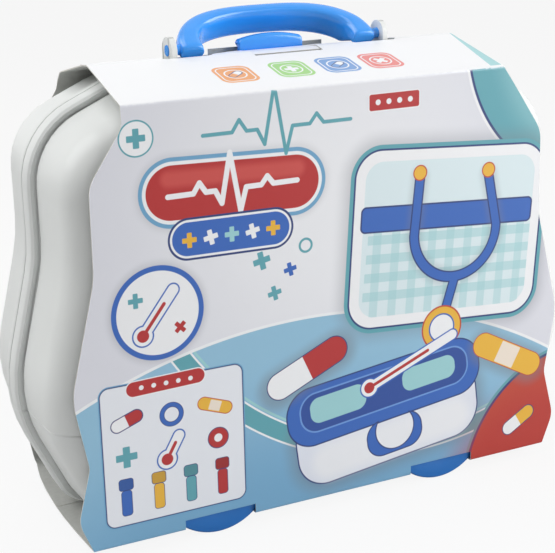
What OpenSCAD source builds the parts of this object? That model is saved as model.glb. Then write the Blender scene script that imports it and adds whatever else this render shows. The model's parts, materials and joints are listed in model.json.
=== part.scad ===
// Toy doctor case that stands on four wheels, closed, in its printed card sleeve.
// +Z is up, -Y is the front, and the two shells meet at y = 0.

/* [Case shells] */
// Height of the rims' top edge above the ground
case_top = 211.4; // [208:0.2:212]
// Height of the rims' bottom edge above the ground
case_bottom = 7; // [6.8:0.1:7.5]
// Half of the flat top edge, measured to its corner
top_half = 76; // [70:1:82]
// Half of the width at the shoulders
shoulder_half = 128; // [124:1:130]
// Half of the width at the belly, measured to its corner
belly_half = 144.5; // [141:0.5:147]
// Depth of each shell from the parting plane
half_depth = 49; // [48:0.2:49]
// Thickness of the shell walls
wall = 2; // [1.6:0.2:2.4]
// Depth of the raised rim on the front shell
lid_rim = 9; // [8:0.5:10]
// Depth of the raised rim on the back shell
base_rim = 7; // [6:0.5:7]
// How far the body steps in behind the raised rim
rim_step = 4.2; // [3.6:0.2:4.6]
// Radius that rounds the sides into the flat face
face_round = 15; // [12:1:15]

/* [Hinge and latch] */
// Height of the hinge line
hinge_z = 5.2; // [5:0.1:5.2]
// Radius of the hinge knuckles
knuckle_r = 3; // [2.8:0.1:3]
// Radius of the hinge pins
hinge_pin_r = 1.5; // [1.2:0.1:1.6]
// Distance from the middle to each hinge
hinge_x = 60; // [50:1:70]
// Width of the latch
latch_w = 33; // [28:1:34]
// Radius of the latch pin
latch_pin_r = 1; // [0.8:0.1:1]

/* [Handle] */
// Distance from the middle to the outside of each handle foot
handle_half = 50; // [46:1:52]
// Height of the handle's arch above its pivots
handle_rise = 25.5; // [23:0.5:27]
// Width of the grip from front to back
grip_w = 14; // [12:0.5:14]
// Angle that the handle leans back from upright
handle_lean = 61; // [56:1:62]
// Height of the handle's pivots
pivot_z = 216.3; // [216.2:0.1:218]
// Radius of the handle's pivot pins
pivot_r = 2.5; // [2:0.1:2.6]

/* [Wheels] */
// Radius of the wheels
wheel_r = 27.5; // [26:0.5:28]
// Thickness of the wheels
wheel_w = 10; // [9:0.5:10.5]
// Distance from the middle to each wheel
wheel_x = 60; // [58:1:62]
// Radius of the stub axles
axle_r = 4; // [3.5:0.1:4.2]

/* [Card sleeve] */
// Depth of the sleeve from front to back
sleeve_depth = 101.2; // [101:0.2:102]
// Height of the sleeve's bottom edge
sleeve_bottom = 5.5; // [5.4:0.1:5.6]
// Height of the fold at the top of the front panel
sleeve_fold = 203.5; // [202:0.5:204]
// Thickness of the card
card = 0.6; // [0.5:0.1:0.6]

/* [Tray and tools] */
// Width of each tool bay
bay_w = 98; // [94:1:100]
// Depth of the tool bays
bay_depth = 24; // [22:1:25]
// Radius of the tools' handles
grip_r = 6.5; // [6:0.1:6.8]
// Distance from the middle to each pair of scissors
scissors_x = 43; // [42.5:0.1:43.5]

/* [Hidden] */

$fn = 64;
over = 1;
seam = 0.15;
run_fit = 0.05;
shell_white = "whitesmoke";
toy_blue = [0.13, 0.47, 0.88];
toy_yellow = [1.0, 0.72, 0.1];
toy_red = [0.8, 0.16, 0.13];
toy_teal = [0.45, 0.75, 0.75];
card_white = [0.9, 0.92, 0.94];
steel = [0.7, 0.7, 0.72];

// Case outline, right half from the top down: x, z and corner radius
SHOULDER_DROP = 23.4;
CASE_HALF = [
  [top_half, case_top, 55],
  [shoulder_half, case_top - SHOULDER_DROP, 38],
  [shoulder_half, 132, 70],
  [belly_half, 66, 66],
  [117.5, case_bottom, 22]
];
// Front panel of the sleeve: its waved edge follows the case, and the top corners differ
SLEEVE_LEFT_TOP = [98, sleeve_fold, 0.4];
SLEEVE_RIGHT_TOP = [91, sleeve_fold, 0.4];
SLEEVE_SIDE = [
  [97.8, 194, 6],
  [113.5, 171, 16],
  [113.8, 131, 40],
  [126.8, 79, 34],
  [121, 46, 9],
  [127.5, 21, 13],
  [121.5, sleeve_bottom, 0.4]
];
// Back panel of the sleeve, which is a little narrower
SLEEVE_BACK_SIDE = [
  [93.2, sleeve_fold, 0.4],
  [93.8, 196, 8],
  [110.5, 171, 16],
  [110.8, 131, 40],
  [123.5, 79, 34],
  [117.5, 46, 9],
  [121.5, 24, 13],
  [118.3, sleeve_bottom, 0.4]
];
// Bottom panel of the sleeve: half width at each place from front to back
SLEEVE_FLOOR = [
  [121.5, -50.7], [122.1, -40], [122.8, -27], [123.3, -12], [123.2, 0],
  [122.9, 7], [122.2, 21], [120.6, 36], [118.6, 47], [118.3, 50.7]
];
// Bean shape of the kidney trays, whole, clockwise
KIDNEY = [
  [-36, 6, 14], [-22, 19, 16], [22, 19, 16], [36, 6, 14],
  [34, -17, 9], [14, -19, 9], [0, -7, 14], [-14, -19, 9], [-34, -17, 9]
];

// Outlines with rounded corners

function unit(v) = v / norm(v);

// Right half from the top down, then the left half from the bottom up
function both_sides(right, left) =
  concat(right, [for (i = [len(left) - 1:-1:0]) [-left[i][0], left[i][1], left[i][2]]]);

// Points round one corner, moved inwards by inset
function corner_arc(a, b, c, inset) =
  let (
    p = [b[0], b[1]],
    u = unit([a[0], a[1]] - p),
    v = unit([c[0], c[1]] - p),
    half = acos(u * v) / 2,
    centre = p + unit(u + v) * b[2] / sin(half),
    start = p + u * b[2] / tan(half) - centre,
    side = u[0] * v[1] - u[1] * v[0] > 0 ? -1 : 1,
    turn = 180 - 2 * half,
    steps = max(2, ceil(turn / 9)),
    r = b[2] + side * inset
  )
  [for (i = [0:steps])
    let (angle = atan2(start[1], start[0]) + side * turn * i / steps)
    centre + r * [cos(angle), sin(angle)]];

function outline(c, inset = 0) =
  let (n = len(c))
  [for (i = [0:n - 1]) each corner_arc(c[(i + n - 1) % n], c[i], c[(i + 1) % n], inset)];

function box_corners(w, h, r) =
  [[-w / 2, h / 2, r], [w / 2, h / 2, r], [w / 2, -h / 2, r], [-w / 2, -h / 2, r]];

// Plate with the given outline in X and Z, from y0 to y1
module plate(corners, y0, y1, inset = 0) {
  translate([0, y1, 0])
    rotate([90, 0, 0])
      linear_extrude(y1 - y0)
        polygon(outline(corners, inset));
}

// Smooth skin through stations [y, inset], with y rising
module loft(corners, stations) {
  rings = [for (s = stations) outline(corners, s[1])];
  n = len(rings[0]);
  last = len(stations) - 1;
  points = [for (k = [0:last]) for (p = rings[k]) [p[0], stations[k][0], p[1]]];
  sides = [for (k = [0:last - 1]) for (i = [0:n - 1])
    let (j = (i + 1) % n, a = k * n, b = a + n)
    each [[a + i, b + i, b + j], [a + i, b + j, a + j]]];
  caps = [[for (i = [0:n - 1]) i], [for (i = [n - 1:-1:0]) last * n + i]];
  polyhedron(points, concat(sides, caps));
}

// Cylinder along Y from y0 to y1
module rod_y(r, y0, y1, x, z) {
  translate([x, y1, z]) rotate([90, 0, 0]) cylinder(r = r, h = y1 - y0);
}

// Cylinder along X from x0 to x1
module rod_x(r, x0, x1, y, z) {
  translate([x0, y, z]) rotate([0, 90, 0]) cylinder(r = r, h = x1 - x0);
}

// Solid of revolution along X, from points [x, radius]
module turned_x(profile, x, y, z) {
  translate([x, y, z])
    rotate([0, 90, 0])
      rotate_extrude()
        polygon([for (p = profile) [p[1], p[0]]]);
}

module block(x0, x1, y0, y1, z0, z1) {
  translate([x0, y0, z0]) cube([x1 - x0, y1 - y0, z1 - z0]);
}

// Shells

CASE = both_sides(CASE_HALF, CASE_HALF);
SLEEVE = both_sides(concat([SLEEVE_RIGHT_TOP], SLEEVE_SIDE), concat([SLEEVE_LEFT_TOP], SLEEVE_SIDE));
SLEEVE_BACK = both_sides(SLEEVE_BACK_SIDE, SLEEVE_BACK_SIDE);
draft = 1.2;
face_angles = [0:18:90];
inner_round = face_round - wall;
rim_wall = 2.4;
pocket_gap = 2;
pocket_depth = wheel_w + 2.3;
stub_reach = 7.6;
stub_hole_r = 1.55;

// One shell without its fittings, open towards y = 0
module shell_solid(rim) {
  loft(CASE, [
    [seam, 1], [seam + 0.35, 0.35], [seam + 1.2, 0],
    [rim - 2.4, 0], [rim - 1.1, 0.4], [rim - 0.3, 1.2], [rim, 2.4]
  ]);
  loft(CASE, concat(
    [[rim - over, rim_step], [half_depth - face_round, rim_step + draft]],
    [for (a = face_angles) if (a > 0)
      [half_depth - face_round + face_round * sin(a),
       rim_step + draft + face_round * (1 - cos(a))]]
  ));
}

module shell_hollow(rim) {
  plate(CASE, -over, rim - wall, rim_wall);
  loft(CASE, concat(
    [[rim - wall - 0.5, rim_step + wall], [half_depth - face_round, rim_step + draft + wall]],
    [for (a = face_angles) if (a > 0)
      [half_depth - face_round + inner_round * sin(a),
       rim_step + draft + wall + inner_round * (1 - cos(a))]]
  ));
}

// Each wheel sits in a round pocket whose back stands inside as a dome
module wheel_domes() {
  for (side = [-1, 1])
    rod_y(wheel_r + pocket_gap + wall, half_depth - pocket_depth - wall, half_depth,
      side * wheel_x, wheel_r);
}

module wheel_pockets() {
  for (side = [-1, 1])
    rod_y(wheel_r + pocket_gap, half_depth - pocket_depth, half_depth + over,
      side * wheel_x, wheel_r);
}

module stub_axles() {
  for (side = [-1, 1])
    difference() {
      rod_y(axle_r, half_depth - pocket_depth - wall, half_depth - pocket_depth + stub_reach,
        side * wheel_x, wheel_r);
      rod_y(stub_hole_r, half_depth - pocket_depth, half_depth, side * wheel_x, wheel_r);
    }
}

// Hinge knuckles: the base has two at each hinge and the lid has one between them
knuckle_l = 10;
knuckle_gap = 0.3;
base_knuckles = [-1, 1];
lid_knuckles = [0];

module knuckle_bars(places, r, extra, bore) {
  for (side = [-1, 1], k = places)
    translate([side * hinge_x + k * (knuckle_l + knuckle_gap), 0, 0])
      difference() {
        union() {
          rod_x(r, -knuckle_l / 2 - extra, knuckle_l / 2 + extra, 0, hinge_z);
          if (bore > 0)
            block(-knuckle_l / 2, knuckle_l / 2, seam, r, hinge_z, case_bottom + over);
        }
        if (bore > 0) rod_x(bore, -knuckle_l, knuckle_l, 0, hinge_z);
      }
}

// Recess in the top of both rims for the latch
latch_room = latch_w / 2 + 1;
recess_floor = case_top - 4;
latch_y = -6;
latch_z = recess_floor + 2.2;
barrel_r = 2;

module latch_boss(rim) {
  block(-latch_room - 4, latch_room + 4, seam, rim, recess_floor - 3, case_top - 1);
}

module latch_recess(rim) {
  block(-latch_room, latch_room, -over, rim + over, recess_floor, case_top + over);
}

// Posts for the tray insert and for the tool rack
post_r = 4;
post_hole_r = 1.45;
seat_gap = 0.1;
tray_y = 8;
tray_wall = 1.6;
tray_posts = [[-112.4, 148], [112.4, 148], [-112.4, 108], [112.4, 108]];
rack_z = 126;
rack_back = 3.2;
rack_posts = [[-80, rack_z + 14], [80, rack_z + 14]];

// Handle brackets and pivots
bracket_in = 53.2;
bracket_t = 2.6;
pivot_y = 2;
bracket_r = 6.2;
air = 0.4;

module handle_bracket() {
  difference() {
    union() {
      rod_x(bracket_r, bracket_in, bracket_in + bracket_t, pivot_y, pivot_z);
      block(bracket_in, bracket_in + bracket_t, pivot_y - bracket_r, pivot_y + bracket_r,
        case_top + air, pivot_z);
      block(bracket_in, bracket_in + bracket_t, seam, base_rim, case_top - over, pivot_z);
    }
    rod_x(pivot_r + run_fit, bracket_in - over, bracket_in + bracket_t + over, pivot_y, pivot_z);
    block(0, 100, -20, 20, case_top - 20, case_top - over);
    block(0, 100, -20, seam, case_top - 20, case_top + air);
  }
}

module base_shell() {
  color(shell_white) {
    difference() {
      shell_solid(base_rim);
      difference() {
        shell_hollow(base_rim);
        wheel_domes();
        latch_boss(base_rim);
        for (p = tray_posts)
          rod_y(post_r, tray_y + tray_wall + seat_gap, half_depth, p[0], p[1]);
      }
      wheel_pockets();
      latch_recess(base_rim);
      for (p = tray_posts) rod_y(post_hole_r, 0, tray_y + 12, p[0], p[1]);
      knuckle_bars(lid_knuckles, knuckle_r + 0.4, 0.3, 0);
    }
    stub_axles();
    knuckle_bars(base_knuckles, knuckle_r, 0, hinge_pin_r);
    handle_bracket();
    mirror([1, 0, 0]) handle_bracket();
  }
}

module lid_shell() {
  color(shell_white)
    mirror([0, 1, 0]) {
      difference() {
        shell_solid(lid_rim);
        difference() {
          shell_hollow(lid_rim);
          wheel_domes();
          latch_boss(lid_rim);
          for (p = rack_posts)
            rod_y(post_r, half_depth - wall - rack_back, half_depth, p[0], p[1]);
        }
        wheel_pockets();
        latch_recess(lid_rim);
        rod_x(latch_pin_r, -latch_room - 3, latch_room + 3, -latch_y, latch_z);
        for (p = rack_posts)
          rod_y(post_hole_r, half_depth - wall - rack_back - over, half_depth - 1, p[0], p[1]);
        knuckle_bars(base_knuckles, knuckle_r + 0.4, 0.3, 0);
      }
      stub_axles();
      knuckle_bars(lid_knuckles, knuckle_r, 0, hinge_pin_r + run_fit);
    }
}

module hinge_pins() {
  reach = 1.5 * knuckle_l + knuckle_gap;
  color(steel)
    for (side = [-1, 1])
      rod_x(hinge_pin_r, side * hinge_x - reach, side * hinge_x + reach, 0, hinge_z);
}

// Latch: a barrel, a plate over both rims and a finger lift behind them

latch_plate_z = recess_floor + 1.1;
latch_plate_t = 3.4;
lift_y = base_rim + 2.2;
lift_t = 2.6;
lift_side_z = case_top + 5.8;
lift_rise = 2.2;

module latch() {
  half = latch_w / 2;
  crown_r = (half * half + lift_rise * lift_rise) / (2 * lift_rise);
  color(toy_blue)
    difference() {
      union() {
        rod_x(barrel_r, -half, half, latch_y, latch_z);
        block(-half, half, latch_y, lift_y + over, latch_plate_z, latch_plate_z + latch_plate_t);
        intersection() {
          block(-half, half, lift_y, lift_y + lift_t, latch_plate_z, case_top + 20);
          rod_y(crown_r, lift_y, lift_y + lift_t, 0, lift_side_z + lift_rise - crown_r);
        }
      }
      rod_x(latch_pin_r + run_fit, -half - over, half + over, latch_y, latch_z);
    }
}

module latch_pin() {
  color(steel) rod_x(latch_pin_r, -latch_room - 2.8, latch_room + 2.8, latch_y, latch_z);
}

// Handle: an arch swept between an outer and an inner curve

arch_steps = 26;
section_steps = 16;
foot_w = 11;
top_bar = 7;
foot_drop = 3.6;
leg_rise = 9;
set_back = 2.3;
pin_reach = bracket_in + bracket_t + 0.3;

// Station t runs from the left foot (0) to the right foot (1)
function arch_angle(t) = 180 - 180 * t;
function bulged(value, power) = sign(value) * pow(abs(value), power);
function arch_outer(t) = let (a = arch_angle(t))
  [handle_half * bulged(cos(a), 0.66), handle_rise * bulged(sin(a), 1.05)];
function arch_inner(t) = let (a = arch_angle(t))
  [(handle_half - foot_w) * bulged(cos(a), 0.75),
   (handle_rise - top_bar) * bulged(sin(a), 0.92)];
// The legs grow from thin feet into the grip, which is set a little behind the pivots
function grown(t) = min(1, arch_outer(t)[1] / leg_rise);
function half_thick(t) = 4 + (grip_w / 2 - 4) * grown(t);

// Ring of points across the bar: a rounded box between outer and inner curve
function arch_ring(outer, inner, thick, shift = 0) =
  [for (i = [0:section_steps - 1])
    let (
      a = 360 * i / section_steps,
      across = bulged(cos(a), 0.55),
      mid = (outer + inner) / 2,
      reach = (outer - inner) / 2
    )
    [mid[0] + reach[0] * across, shift + thick * bulged(sin(a), 0.55), mid[1] + reach[1] * across]];

module handle_body() {
  down = [0, -foot_drop];
  rings = concat(
    [arch_ring(arch_outer(0) + down, arch_inner(0) + down, 2.4)],
    [arch_ring(arch_outer(0) + down * 0.7, arch_inner(0) + down * 0.7, 3.6)],
    [for (i = [0:arch_steps]) let (t = i / arch_steps)
      arch_ring(arch_outer(t), arch_inner(t), half_thick(t), set_back * grown(t))],
    [arch_ring(arch_outer(1) + down * 0.7, arch_inner(1) + down * 0.7, 3.6)],
    [arch_ring(arch_outer(1) + down, arch_inner(1) + down, 2.4)]
  );
  n = section_steps;
  last = len(rings) - 1;
  sides = [for (k = [0:last - 1]) for (i = [0:n - 1])
    let (j = (i + 1) % n, a = k * n, b = a + n)
    each [[a + i, a + j, b + j], [a + i, b + j, b + i]]];
  caps = [[for (i = [n - 1:-1:0]) i], [for (i = [0:n - 1]) last * n + i]];
  polyhedron([for (r = rings) each r], concat(sides, caps));
}

module handle() {
  color(toy_blue)
    translate([0, pivot_y, pivot_z])
      rotate([-handle_lean, 0, 0]) {
        handle_body();
        for (side = [0, 1])
          mirror([side, 0, 0]) rod_x(pivot_r, handle_half - 4, pin_reach, 0, 0);
      }
}

// Wheels

hub_r = 9.4;
hub_seat = 4;
wheel_out = half_depth - pocket_depth + 0.3;

// Wheel along +Z from its back face, turned about its axle
module wheel_blank() {
  edge = 1.6;
  rotate_extrude($fn = 96)
    polygon([
      [axle_r + 0.06, 0], [wheel_r - edge, 0], [wheel_r, edge], [wheel_r, wheel_w - edge],
      [wheel_r - edge, wheel_w], [wheel_r - 4.5, wheel_w], [wheel_r - 6, wheel_w - 1.8],
      [hub_r + 4.2, wheel_w - 1.8], [hub_r + 2.6, wheel_w], [hub_r + 0.05, wheel_w],
      [hub_r + 0.05, wheel_w - hub_seat], [axle_r + 0.06, wheel_w - hub_seat]
    ]);
}

module hubcap_blank() {
  rotate_extrude()
    polygon([
      [0, wheel_w - 1.6], [hub_r, wheel_w - 1.6], [hub_r, wheel_w],
      [hub_r - 1.2, wheel_w + 0.5], [3, wheel_w + 0.8], [0, wheel_w + 0.8]
    ]);
}

// face is 1 at the back of the case and -1 at the front
module at_wheel(side, face) {
  translate([side * wheel_x, face * wheel_out, wheel_r])
    rotate([face * -90, 0, 0])
      children();
}

module wheel(side, face) { color(toy_blue) at_wheel(side, face) wheel_blank(); }
module hubcap(side, face) { color(toy_red) at_wheel(side, face) hubcap_blank(); }

module pan_screw(head_r, head_h, shank_r, shank_l) {
  cylinder(r = head_r, h = head_h);
  translate([0, 0, -shank_l]) cylinder(r = shank_r, h = shank_l + 0.5);
}

module wheel_screws(face) {
  seat = stub_reach - 0.3;
  color(steel)
    for (side = [-1, 1])
      at_wheel(side, face)
        translate([0, 0, seat]) pan_screw(5.6, 0.8, stub_hole_r - run_fit, 7);
}

// Tray insert with its tool bays, saddles and kidney recesses

bay_x = 8 + bay_w / 2;
bay_rows = [[168, 30], [131, 34], [92, 34]];
bay_floor = tray_y + bay_depth;
tool_y = bay_floor - grip_r - 1.2;
kidney_x = 68;
kidney_z = 43;
kidney_depth = 13;
saddle_t = 3;

module bay_space(side, row, grow, depth) {
  corners = [for (c = box_corners(bay_w, row[1], 6)) [c[0] + side * bay_x, c[1] + row[0], c[2]]];
  plate(corners, tray_y - (grow > 0 ? 0 : over), tray_y + depth + grow, -grow);
}

module kidney_space(side, grow, depth) {
  corners = [for (c = KIDNEY) [c[0] + side * kidney_x, c[1] + kidney_z, c[2]]];
  plate(corners, tray_y - (grow > 0 ? 0 : over), tray_y + depth + grow, -grow);
}

// Ribs with a round notch that hold a tool of radius r on the line y, z
module saddles(places, y, z, r) {
  for (x = places)
    difference() {
      block(x - saddle_t / 2, x + saddle_t / 2, y - 2, bay_floor + 0.5, z - r - 2, z + r + 2);
      rod_x(r + seat_gap, x - saddle_t, x + saddle_t, y, z);
    }
}

module tray_insert() {
  color(toy_blue) {
    difference() {
      union() {
        plate(CASE, tray_y, tray_y + tray_wall, 8.6);
        difference() {
          plate(CASE, tray_y, tray_y + 9, 8.6);
          plate(CASE, tray_y - over, tray_y + 10, 8.6 + tray_wall);
        }
        for (side = [-1, 1]) {
          for (row = bay_rows) bay_space(side, row, tray_wall, bay_depth);
          kidney_space(side, tray_wall, kidney_depth);
        }
      }
      for (side = [-1, 1]) {
        for (row = bay_rows) bay_space(side, row, 0, bay_depth);
        kidney_space(side, 0, kidney_depth);
      }
      for (p = tray_posts) rod_y(post_hole_r + 0.2, 0, 20, p[0], p[1]);
    }
    saddles([-bay_x - 38, -bay_x - 6], tool_y, bay_rows[0][0], grip_r);
    saddles([bay_x - 38, bay_x - 6], tool_y, bay_rows[0][0], grip_r);
    saddles([bay_x - 38, bay_x - 6], tool_y, bay_rows[1][0], grip_r);
    saddles([barrel_x + 10, barrel_x + 36], syringe_y, bay_rows[1][0], barrel_out);
    for (side = [-1, 1])
      saddles([bay_x - 28, bay_x + 4], thermo_y, bay_rows[2][0] + side * thermo_gap, thermo_r);
  }
}

module tray_screws() {
  color(steel)
    for (p = tray_posts)
      translate([p[0], tray_y, p[1]]) rotate([90, 0, 0])
        pan_screw(3, 1.6, post_hole_r - run_fit, 9);
}

// Toy instruments, each lying along X in its bay

function grip_profile(l, r) = concat(
  [[0, 0], [0, r - 1.5], [1.5, r]],
  [for (i = [0:4]) each [[8 + 5 * i, r], [9 + 5 * i, r - 0.7], [11 + 5 * i, r - 0.7], [12 + 5 * i, r]]],
  [[l - 12, r], [l - 3, r * 0.72], [l, r * 0.72], [l, 0]]
);

module tool_grip(x, z, l) {
  color(toy_yellow) turned_x(grip_profile(l, grip_r), x, tool_y, z);
}

grip_x = -46;
grip_l = 58;

module hammer_handle() { tool_grip(-bay_x + grip_x, bay_rows[0][0], grip_l); }

module hammer_head() {
  x = -bay_x + grip_x + grip_l;
  z = bay_rows[0][0];
  color(toy_blue) {
    turned_x([[0, 0], [0, 5.2], [9, 4], [16, 4], [16, 0]], x, tool_y, z);
    translate([x + 22, tool_y - 0.7, z - 13])
      rotate_extrude()
        polygon([[0, 0], [6, 0], [8, 2], [8, 7], [6.4, 10], [6.4, 16], [8, 19], [8, 24],
          [6, 26], [0, 26]]);
  }
}

module otoscope_handle() { tool_grip(bay_x + grip_x, bay_rows[0][0], grip_l); }

module otoscope_head() {
  color(toy_blue)
    turned_x([[0, 0], [0, 5.5], [3, 7], [8, 10], [16, 11], [20, 10], [23, 6.5], [25, 5],
      [34, 2.6], [35, 2], [35, 0]], bay_x + grip_x + grip_l, tool_y - 4, bay_rows[0][0]);
}

mirror_r = 14.5;
mirror_x = bay_x + grip_x + grip_l + 4 + mirror_r;

module mirror_handle() { tool_grip(bay_x + grip_x, bay_rows[1][0], grip_l); }

module mirror_frame() {
  z = bay_rows[1][0];
  color(toy_blue)
    difference() {
      union() {
        rod_y(mirror_r, tool_y - 2.5, tool_y + 2.5, mirror_x, z);
        rod_x(2.4, bay_x + grip_x + grip_l, mirror_x - mirror_r + 3, tool_y, z);
      }
      rod_y(mirror_r - 2.5, tool_y - 3, tool_y + 0.5, mirror_x, z);
    }
}

module mirror_glass() {
  color([0.85, 0.9, 0.95])
    rod_y(mirror_r - 2.55, tool_y - 1, tool_y + 0.4, mirror_x, bay_rows[1][0]);
}

barrel_out = 8;
barrel_in = 6.6;
barrel_l = 50;
barrel_x = -bay_x - 34;
syringe_y = bay_floor - barrel_out - 0.6;
plunger_out = 24;
finger_r = 12.5;

module syringe_barrel() {
  z = bay_rows[1][0];
  color(toy_yellow) {
    turned_x([[-9, 0.9], [-9, 1.8], [-2, 2.6], [0, barrel_out], [barrel_l, barrel_out],
      [barrel_l, barrel_in], [2, barrel_in], [2, 0.9]], barrel_x, syringe_y, z);
    difference() {
      intersection() {
        rod_x(finger_r, barrel_x + barrel_l - 2, barrel_x + barrel_l, syringe_y, z);
        block(barrel_x, barrel_x + 60, syringe_y - barrel_out, syringe_y + barrel_out, 0, case_top);
      }
      rod_x(barrel_in + 0.7, barrel_x, barrel_x + 60, syringe_y, z);
    }
  }
}

module syringe_plunger() {
  end = barrel_l + plunger_out;
  head = plunger_out + 3;
  color(toy_yellow)
    turned_x([[head, 0], [head, barrel_in - 0.06], [head + 6, barrel_in - 0.06],
      [head + 6, 3], [end, 3], [end, 7.4], [end + 2, 7.4], [end + 2, 0]],
      barrel_x, syringe_y, bay_rows[1][0]);
}

thermo_r = 5;
thermo_gap = 8;
thermo_x = bay_x - 40;
thermo_y = bay_floor - thermo_r - 1.2;

module thermometer_yellow() {
  color(toy_yellow)
    turned_x([[0, 0], [0, 3.5], [1.5, thermo_r], [58, thermo_r], [66, 3], [80, 2.2], [82, 0]],
      thermo_x, thermo_y, bay_rows[2][0] + thermo_gap);
}

module thermometer_red() {
  color(toy_red)
    turned_x([[0, 0], [0, 3.5], [1.5, thermo_r], [52, thermo_r], [62, 2.6], [74, 2], [76, 0]],
      thermo_x, thermo_y, bay_rows[2][0] - thermo_gap);
}

lens_r = 16;
lens_x = 22;
glasses_t = 4;
temple_x = 43;

// One temple folded behind the front, from its hinge block inwards
module temple(side, x, y, z) {
  mirror([side, 0, 0]) {
    block(x - 9, x + 3, y, y + 2, z + 3, z + 8);
    block(-x + 8, x, y, y + 2, z + 4, z + 7.5);
    block(-x + 5, -x + 9, y, y + 2, z - 8, z + 7.5);
  }
}

module glasses() {
  z = bay_rows[2][0];
  front = bay_floor - 0.3 - glasses_t;
  color(toy_red)
    translate([-bay_x, 0, 0])
      difference() {
        union() {
          for (side = [-1, 1]) {
            rod_y(lens_r, front, front + glasses_t, side * lens_x, z);
            block(side * temple_x - 3, side * temple_x + 3, front - 5, front + glasses_t, z + 3, z + 8);
            block(side * 39.5 - 4.5, side * 39.5 + 4.5, front, front + glasses_t, z + 3, z + 8);
          }
          block(-8, 8, front, front + glasses_t, z + 2, z + 7);
          temple(0, temple_x, front - 2.4, z);
          temple(1, temple_x, front - 5, z);
        }
        for (side = [-1, 1])
          rod_y(lens_r - 3.2, front - over, front + glasses_t + over, side * lens_x, z);
      }
}

module kidney_tray(side) {
  corners = [for (c = KIDNEY) [c[0] + side * kidney_x, c[1] + kidney_z, c[2]]];
  top = tray_y - seat_gap;
  color(toy_teal)
    difference() {
      union() {
        plate(corners, top - 0.5, tray_y + kidney_depth - 0.3, 1);
        plate(corners, top - 1, top, -1.5);
      }
      plate(corners, top - 2, tray_y + kidney_depth - 1.8, 2.4);
    }
}

// Rack, backdrop and scissors inside the lid

rack_half = 94;
rack_y = -half_depth + wall + rack_back + seat_gap;
shelf_y = rack_y + 26;
slot_pitch = 22;
peg_r = 3;
loop_r = 11;
loop_hole_r = 7.6;
loop_x = 12;
loop_z = 108;
blade_pivot_z = 84;
blade_tip_z = 62;
scissors_y = rack_y + 13;
arm_t = 2.6;

module tool_rack() {
  color(toy_blue)
    difference() {
      union() {
        block(-rack_half, rack_half, rack_y, rack_y + 2, rack_z, rack_z + 22);
        block(-rack_half, rack_half, rack_y, shelf_y, rack_z, rack_z + 2);
        block(-rack_half, rack_half, shelf_y - 2, shelf_y, rack_z - 3, rack_z + 12);
        for (side = [-1, 1]) {
          block(side * (rack_half - 1) - 1, side * (rack_half - 1) + 1, rack_y, shelf_y,
            rack_z, rack_z + 12);
          peg_x = side * scissors_x - loop_x;
          rod_y(peg_r, scissors_y - 6, scissors_y + 5, peg_x, loop_z + loop_hole_r - peg_r - 0.1);
          block(peg_x - 2, peg_x + 2, scissors_y + 3.5, scissors_y + 5,
            loop_z + loop_hole_r - peg_r, rack_z + 1);
        }
      }
      for (i = [-3:3]) {
        block(i * slot_pitch - 6, i * slot_pitch + 6, rack_y + 8, shelf_y - 4,
          rack_z - over, rack_z + 3);
        block(i * slot_pitch - 5, i * slot_pitch + 5, shelf_y - 3, shelf_y + over,
          rack_z + 6, rack_z + 20);
      }
      for (p = rack_posts) rod_y(post_hole_r + 0.2, rack_y - over, rack_y + 3, p[0], p[1]);
    }
}

module rack_screws() {
  color(steel)
    for (p = rack_posts)
      translate([p[0], rack_y + 2, p[1]]) rotate([-90, 0, 0])
        pan_screw(3, 1.6, post_hole_r - run_fit, 5.5);
}

module backdrop_card() {
  y0 = -half_depth + wall + 0.3;
  color(card_white)
    difference() {
      intersection() {
        plate(CASE, y0, y0 + card, 21.5);
        block(-150, 150, y0 - over, y0 + 2, wheel_r * 2 + 8, case_top);
      }
      for (p = rack_posts) rod_y(post_r + 0.4, y0 - over, y0 + 2, p[0], p[1]);
    }
}

// Half of a pair of scissors: loop, shank and blade
module scissors_half(hand, y0) {
  r = loop_r;
  difference() {
    union() {
      rod_y(r, y0, y0 + arm_t, hand * loop_x, loop_z);
      rod_y(5, y0, y0 + arm_t, 0, blade_pivot_z);
      translate([0, y0 + arm_t, 0])
        rotate([90, 0, 0])
          linear_extrude(arm_t)
            polygon([
              [hand * 9, loop_z - 10], [hand * 2, loop_z - 7], [hand * -4.6, blade_pivot_z - 2],
              [hand * -4.4, blade_pivot_z - 8], [0, blade_tip_z], [hand * 1.2, blade_tip_z],
              [hand * 3.4, blade_pivot_z]
            ]);
    }
    rod_y(loop_hole_r, y0 - over, y0 + arm_t + over, hand * loop_x, loop_z);
    rod_y(2 + run_fit, y0 - over, y0 + arm_t + over, 0, blade_pivot_z);
  }
}

module scissors_arm(side) {
  color(toy_red)
    translate([side * scissors_x, 0, 0]) scissors_half(-1, scissors_y);
}

module scissors_blade(side) {
  color(toy_red)
    translate([side * scissors_x, 0, 0]) scissors_half(1, scissors_y - arm_t - 0.3);
}

module scissors_rivet(side) {
  low = scissors_y - arm_t - 0.3;
  color(steel)
    translate([side * scissors_x, 0, 0]) {
      rod_y(2, low - 0.4, scissors_y + arm_t + 0.4, 0, blade_pivot_z);
      rod_y(3.4, low - 1.3, low - 0.3, 0, blade_pivot_z);
      rod_y(3.4, scissors_y + arm_t + 0.3, scissors_y + arm_t + 1.3, 0, blade_pivot_z);
    }
}

// Card sleeve: front and back wraps, split along the top ridge and the hinge line

half_sleeve = sleeve_depth / 2;
crown_z = case_top + 1.2;
ridge_y = base_rim;
peak_y = -3.4;
peak_z = sleeve_fold + 10.4;
ridge_left = 95.3;
ridge_right = 92.5;
ridge_back = 94.2;
back_bend = 6;
notch_half = 17.7;
back_notch_half = 18.8;
notch_top = sleeve_bottom + 5;
cut_half = 61;
flap_half = latch_w / 2 + 0.6;
flap_start = latch_y + 0.5;
flap_slot = latch_y - 4.2;
flap_z = latch_plate_z + latch_plate_t + seat_gap;

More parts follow.
